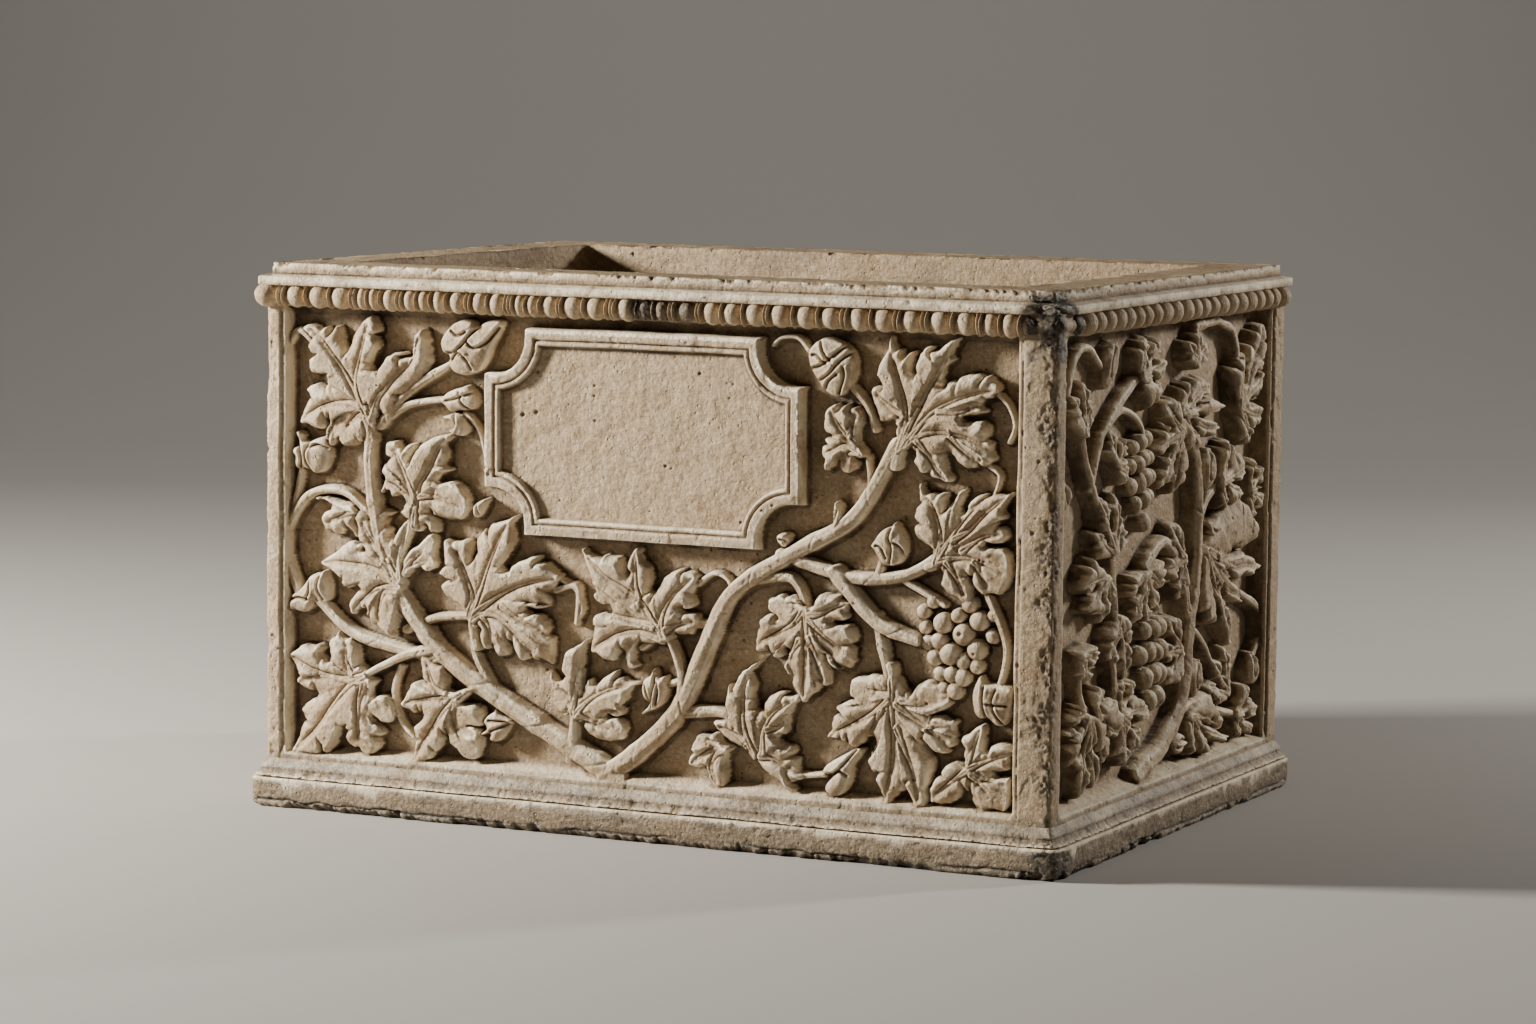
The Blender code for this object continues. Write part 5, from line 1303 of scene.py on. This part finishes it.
dirt = 0.60 + 0.14 * grime + 0.2 * blend_in(new_z + 2 * grime, 8, 2) + 0.4 * blend_in(corner_away, 22, 5)
dirt = dirt * (1 - 0.95 * blend_in(new_z, 14.0, 15.0))
dirt = dirt + (0.58 + 0.2 * grime) * blend_in(new_z, 16.5, 17.5) + 0.8 * crack
# Concave parts of the section take dirt and painted shade; the broad patches are dirt.
fields = {"hollow": (soften(new_out, 3) - new_out) * 1.6, "recess": 2.2 * blend_in(grime, -0.2, 0.9),
          "level": np.zeros_like(dirt), "stain": np.clip(dirt, 0, 0.95)}
fields = {key: np.concatenate([np.zeros((len(under), run.shape[1])), grid]) for key, grid in fields.items()}
hand_in(grid_mesh("plinth", points * MM, False, fields, 90000, closed=True), stone)

# The rim and the hollow
# Band, sloping ledge and top fascia, the flat top on which a lid rested, and the hollow for the
# ashes, which was left from the claw chisel.
RIM_TOP, HOLLOW_DEPTH, FOOT_RADIUS = 286.0, 246.0, 8.0
SIDE_WALL, FRONT_WALL = 34.5, 36.0
rim_section = fine_profile((
    (-3.0, 274.3), (3.0, 274.35), (3.45, 274.8), (3.5, 275.6), (3.5, 278.4), (3.1, 279.0), (1.2, 279.4),
    (-1.5, 280.1), (-1.95, 280.5), (-2.0, 285.2), (-2.5, 285.8), (-3.4, RIM_TOP)), 0.8)
rim_edges = ((-2.0, RIM_TOP, 1.0, 6.0, 0.6, 2.2, 0.15), (3.5, 279.0, 1.0, 8.0, 0.2, 0.9, 0.6),
             (3.5, 274.4, -1.0, 14.0, 0.2, 0.7, 0.6))
base, ways, out, new_out, new_z, run = moulding(rim_section, lambda z: 2.6, rim_edges, seed=6000, step=0.8)
ledge_line = np.exp(-((new_z - 280.3) / 0.45) ** 2) * (out < -1)
band_line = np.exp(-((new_z - 279.3) / 0.35) ** 2) * (out > 0.5) * 0.5
pocks = blend_in(rough(run, new_z * 1.5, 4, 6050), 0.42, 0.55)
new_out = new_out - 0.6 * (ledge_line + band_line) - 0.4 * pocks
corner_away = np.hypot(base[..., 0] - WIDTH / 2, base[..., 1] + DEPTH / 2)
broken = blend_in(corner_away + 3 * rough(run, new_z, 4, 6099), 17.0, 10.0)
broken = broken * (1 - 0.6 * blend_in(new_z, 279.0, 281.5))
new_out = new_out - broken * (3.4 + 2.6 * rough(base[..., 0], base[..., 1] + 3 * new_z, 5, 6100))
places = base + ways * (new_out - out)[..., None]
outer = np.concatenate([places, np.minimum(new_z, HEIGHT)[..., None]], axis=-1)
inner_places, inner_ways = ring(WIDTH / 2 - SIDE_WALL, DEPTH / 2 - FRONT_WALL, radius=6.0, step=0.8)
last = outer[-1]
top_rows = []
for share in (0.02, 0.05, 0.1, 0.18, 0.3, 0.42, 0.54, 0.66, 0.78, 0.88, 0.94, 0.97, 0.99):
    row = np.empty_like(last)
    row[:, :2] = last[:, :2] * (1 - share) + inner_places * share
    x, y = row[:, 0], row[:, 1]
    flaw = 0.22 * rough(x, y, 15, 6200) + 0.5 * blend_in(rough(x, y, 9, 6210), 0.4, 0.5)
    row[:, 2] = np.minimum(HEIGHT - 0.25 - flaw, HEIGHT)
    top_rows.append(row)
wall_rows = []
inner_run = np.cumsum(np.hypot(*(np.roll(inner_places, -1, 0) - inner_places).T))
edge_chip = chips(inner_run, size=12, seed=6300, worn=0.7, deepest=1.6, share=0.3)
wall_foot = HOLLOW_DEPTH - FOOT_RADIUS
depths = [0.0, 0.5, 1.2, 2.5, 4.5, *np.arange(7.5, wall_foot, 3.0), 240.5, 242.5, 244.2, 245.4, HOLLOW_DEPTH]
for depth in depths:
    foot = FOOT_RADIUS * (1 - math.sqrt(max(0.0, 1 - max(0.0, (depth - wall_foot) / FOOT_RADIUS) ** 2)))
    z = RIM_TOP - depth
    level_z = np.full_like(inner_run, z)
    chisel = np.sin((inner_run * 0.5 + z * 0.9) + 2 * drift(inner_run, level_z, 20, 6410))
    dent = 0.55 * rough(inner_run, level_z, 16, 6400) + 0.25 * chisel
    dent = dent * min(1.0, depth / 8) - np.clip(edge_chip - depth, 0, None)
    row = np.empty_like(last)
    row[:, :2] = inner_places - inner_ways * (foot + dent)[:, None]
    row[:, 2] = z - (0.25 if depth < 1 else 0.0)
    wall_rows.append(row)
floor_rows = []
for share in (0.97, 0.92, 0.85, 0.75, 0.65, 0.55, 0.45, 0.35, 0.25, 0.15, 0.07, 0.03, 0.0):
    row = drawn_in(wall_rows[-1], share)
    row[:, 2] = RIM_TOP - HOLLOW_DEPTH + 0.6 * rough(row[:, 0], row[:, 1], 22, 6500)
    floor_rows.append(row)
points = np.concatenate([outer, np.stack(top_rows + wall_rows + floor_rows)])
x, y, z = points[..., 0], points[..., 1], points[..., 2]
top_start, top_end = len(outer), len(outer) + len(top_rows)
away = np.hypot(x - WIDTH / 2, y + DEPTH / 2)
stain = blend_in(away + 4 * drift(x + y, z, 5, 6600), 19, 12) * (1 - 0.6 * blend_in(z, 284.0, 285.5))
# The rim's flat top is darkened, partly staining and partly painted shade.
on_top = np.zeros(points.shape[:2])
on_top[top_start + 1:top_end - 1] = 1.0
stain = np.maximum(stain, on_top * (0.38 + 0.14 * rough(x, y, 24, 6650)))
# Painted shade: the walls and floor of the hollow are darkened.
stain[top_end:] = np.maximum(stain[top_end:], 0.24)
fascia = blend_in(rough(run, new_z * 2, 11, 6660), -0.5, 0.6) * blend_in(new_z, 285.4, 284.2)
stain[:top_start] = np.maximum(stain[:top_start], 0.08 + 0.16 * fascia)
hollow = np.zeros_like(stain)
# Concave parts of the outer section take dirt and painted shade.
hollow[:top_start] = (soften(new_out, 3) - new_out) * 1.4
fields = {"hollow": hollow, "recess": 4.0 * blend_in(rough(x + y, z, 26, 6700), 0.0, 0.5),
          "level": np.zeros_like(stain), "stain": stain}
hand_in(grid_mesh("rim_and_hollow", points * MM, False, fields, 110000, closed=True), stone)

# The bead and reel
# Round beads and thin discs carved on a string under the band. They are uneven, as they were cut by
# eye, and they stop at the broken front right corner.
FRONT_BEADS = (3, 19, 33, 46.5, 59.5, 66.5, 76, 88, 96.5, 105, 116, 129, 139, 152.5, 160, 170, 183, 196, 213,
               224, 233, 247, 261, 272.5, 285, 299, 313, 326.5, 342, 355, 370, 385, 399, 412, 422, 433)
SOOTY_BEADS = ((222, 7, 2.2), (233, 7, 1.2), (247, 8, 1.2), (439, 10, 3.0))
BEAD_HALF, BEAD_RADIUS = 6.1, 6.3
DISC_SIZE, DISC_SPACING = (1.0, 6.2, 6.6), 1.9
STRING_OUT = -0.8


def bead_tree():
    """Geometry Nodes: a bead or a reel on each point, sized by the point and a little uneven."""
    tree = bpy.data.node_groups.new("bead_and_reel", "GeometryNodeTree")
    for name, kind in (("Points", "Geometry"), ("Segments", "Int"), ("Rings", "Int"), ("Unevenness", "Float"),
                       ("Tilt", "Float"), ("Seed", "Int"), ("Stone", "Material")):
        tree.interface.new_socket(name=name, in_out="INPUT", socket_type="NodeSocket" + kind)
    tree.interface.new_socket(name="Beads", in_out="OUTPUT", socket_type="NodeSocketGeometry")
    given = tree.nodes.new("NodeGroupInput").outputs

    def random_vector(smallest, largest):
        return node_output(tree, "FunctionNodeRandomValue", "Value", {
            "Min": smallest, "Max": largest, "Seed": given["Seed"]}, data_type="FLOAT_VECTOR")

    ball = node_output(tree, "GeometryNodeMeshUVSphere", "Mesh", {
        "Segments": given["Segments"], "Rings": given["Rings"], "Radius": 1.0})
    size = node_output(tree, "GeometryNodeInputNamedAttribute", "Attribute", {"Name": "half_size"},
                       data_type="FLOAT_VECTOR")
    smallest = node_output(tree, "ShaderNodeMath", 0, {0: 1.0, 1: given["Unevenness"]}, operation="SUBTRACT")
    scale = node_output(tree, "ShaderNodeVectorMath", "Vector", {
        0: size, 1: random_vector(smallest, (1.0, 1.0, 1.0))}, operation="MULTIPLY")
    tilt_back = node_output(tree, "ShaderNodeMath", 0, {0: given["Tilt"], 1: -1.0}, operation="MULTIPLY")
    copies = node_output(tree, "GeometryNodeInstanceOnPoints", "Instances", {
        "Points": given["Points"], "Instance": ball, "Scale": scale,
        "Rotation": random_vector(tilt_back, given["Tilt"])})
    real = node_output(tree, "GeometryNodeRealizeInstances", "Geometry", {"Geometry": copies})
    beads = node_output(tree, "GeometryNodeSetMaterial", "Geometry", {
        "Geometry": real, "Material": given["Stone"]})
    tree.links.new(beads, tree.nodes.new("NodeGroupOutput").inputs["Beads"])
    return tree


string_of_beads = bead_tree()


def bead_row(name, beads, place, along_x, seed, dark=()):
    """One side's beads and the reels between them, as a plain mesh.

    Dark places are broken and sooty. Each has its middle, its reach and its depth.
    """
    spots, sizes = list(beads), []
    for i, middle in enumerate(beads):
        gaps = [abs(middle - other) for other in beads[max(0, i - 1):i + 2] if other != middle]
        sizes.append((min(BEAD_HALF, 0.47 * min(gaps)), BEAD_RADIUS, BEAD_RADIUS))
    for i in range(len(beads) - 1):
        free_from = beads[i] + sizes[i][0] * 0.88
        free_to = beads[i + 1] - sizes[i + 1][0] * 0.88
        count = max(1, int((free_to - free_from + 0.4) / DISC_SPACING))
        for k in range(count):
            spots.append(free_from + (free_to - free_from) * (k + 0.5) / count)
            sizes.append(DISC_SIZE)
    mesh = bpy.data.meshes.new(name)
    mesh.from_pydata([Vector((*place(s, STRING_OUT), BEAD_MIDDLE)) * MM for s in spots], [], [])
    layer = mesh.attributes.new("half_size", "FLOAT_VECTOR", "POINT")
    for i, (half, tall, deep) in enumerate(sizes):
        layer.data[i].vector = Vector((half, deep, tall) if along_x else (deep, half, tall)) * MM
    thing = add_object(name, mesh)
    modifier = thing.modifiers.new("beads", "NODES")
    modifier.node_group = string_of_beads
    values = {"Segments": 22, "Rings": 13, "Unevenness": 0.07, "Tilt": 0.06, "Seed": seed, "Stone": stone}
    for item in string_of_beads.interface.items_tree:
        if item.in_out == "INPUT" and item.name in values:
            modifier[item.identifier] = values[item.name]
    bpy.context.view_layer.update()
    result = apply_modifiers(thing)
    where = np.empty(len(result.vertices) * 3, np.float32)
    result.vertices.foreach_get("co", where)
    where = where.reshape(-1, 3) / MM
    run = where[:, 0] + WIDTH / 2 if along_x else where[:, 1] + DEPTH / 2
    axis = np.array([*place(0.0, STRING_OUT), BEAD_MIDDLE])
    axis[0 if along_x else 1] = 0.0
    spokes = where - axis
    spokes[:, 0 if along_x else 1] = 0.0
    radius = np.maximum(np.linalg.norm(spokes, axis=1), 1e-3)
    turn = np.arctan2(spokes[:, 2], spokes[:, 1] + spokes[:, 0])
    dent = 0.30 * rough(run, turn * 9, 4.5, seed + 20) + 0.25 * rough(run, turn * 9, 12, seed + 30)
    hit = np.zeros(len(run))
    for s0, span, deep in dark:
        hit = np.maximum(hit, deep * blend_in(np.abs(run - s0), span, span * 0.5))
    dent = dent - hit * (0.4 + 0.8 * np.abs(rough(run, turn * 9, 3.0, seed + 40)))
    where = where + spokes / radius[:, None] * np.clip(dent, -3.5, 0.25)[:, None]
    result.vertices.foreach_set("co", (where * MM).reshape(-1).astype(np.float32))
    # Painted shade near the string between beads and reels, and faintly pale crowns, partly painted
    # highlight; soot on broken beads.
    store_fields(result, {"hollow": np.clip((2.4 - radius) / 2.0, -1.0, 1.0) * 0.25,
                          "recess": np.zeros(len(run)), "level": np.zeros(len(run)),
                          "stain": np.clip(hit / 1.5, 0, 1)})
    result.update()
    result.shade_smooth()
    hand_in(thing, stone)


def uneven_row(length, seed, start):
    """Bead places at the usual spacing, but a little off."""
    random = np.random.default_rng(seed)
    spots, s = [], start
    while s < length + 3:
        spots.append(s)
        s += random.choice((11.5, 12.5, 13.5, 14.5, 15.0))
    return spots


right_beads, left_beads = uneven_row(DEPTH, 7100, start=22), uneven_row(DEPTH, 7200, start=-1)
bead_row("bead_string_front", FRONT_BEADS, front_place, along_x=True, seed=7000, dark=SOOTY_BEADS)
bead_row("bead_string_right", right_beads, right_place, along_x=False, seed=7100, dark=((12, 16, 2.6),))
bead_row("bead_string_left", left_beads, left_place, along_x=False, seed=7200)

# The studio
# A pale floor that sweeps up behind, a soft low light at the left that rakes over the carved front,
# and a weaker one behind the right side. None of it belongs to the urn.
BEND_START, BEND_RADIUS = 1.2, 0.9
FLOOR_HALF, FLOOR_STRETCH, FLOOR_DOWN = 4.5, 1.4, 0.0002
LIGHT_TARGET = Vector((0, 0, 0.14))
turns = [math.radians(angle) for angle in range(10, 91, 10)]
sweep = [(-6.0, 0.0), (BEND_START, 0.0)]
sweep += [(BEND_START + BEND_RADIUS * math.sin(a), BEND_RADIUS - BEND_RADIUS * math.cos(a)) for a in turns]
sweep += [(2.1, 3.2)]
floor_mesh = bpy.data.meshes.new("floor")
corners = [(side * FLOOR_HALF, y * FLOOR_STRETCH, z - FLOOR_DOWN) for y, z in sweep for side in (-1, 1)]
floor_mesh.from_pydata(corners, [], [(2 * i, 2 * i + 1, 2 * i + 3, 2 * i + 2) for i in range(len(sweep) - 1)])
floor_mesh.shade_smooth()
floor = add_object("floor", floor_mesh)
floor.rotation_euler = (0, 0, YAW)
paper = bpy.data.materials.new("paper")
paper.use_nodes = True
paper_shader = paper.node_tree.nodes["Principled BSDF"]
paper_shader.inputs["Base Color"].default_value = (0.40, 0.39, 0.375, 1.0)
paper_shader.inputs["Roughness"].default_value = 0.9
floor_mesh.materials.append(paper)


def soft_light(name, towards, distance, wide, tall, power, colour):
    """Soft box that shines at the middle of the urn from this direction."""
    data = bpy.data.lights.new(name, "AREA")
    data.shape = "RECTANGLE"
    data.size, data.size_y = wide, tall
    data.energy = power
    data.color = colour
    thing = add_object(name, data)
    direction = Vector(towards).normalized()
    thing.location = direction * distance + LIGHT_TARGET
    thing.rotation_euler = (-direction).to_track_quat("-Z", "Y").to_euler()


soft_light("key", (-1.0, -0.53, 0.40), distance=1.7, wide=0.25, tall=0.3, power=86.0,
           colour=(1.0, 0.94, 0.84))
soft_light("right_light", (0.9, 1.0, 0.50), distance=2.2, wide=0.2, tall=0.35, power=33.0,
           colour=(1.0, 0.94, 0.86))
world = bpy.data.worlds.new("world")
world.use_nodes = True
sky = world.node_tree.nodes["Background"]
sky.inputs["Color"].default_value = (0.9, 0.93, 1.0, 1.0)
sky.inputs["Strength"].default_value = 0.014
bpy.context.scene.world = world
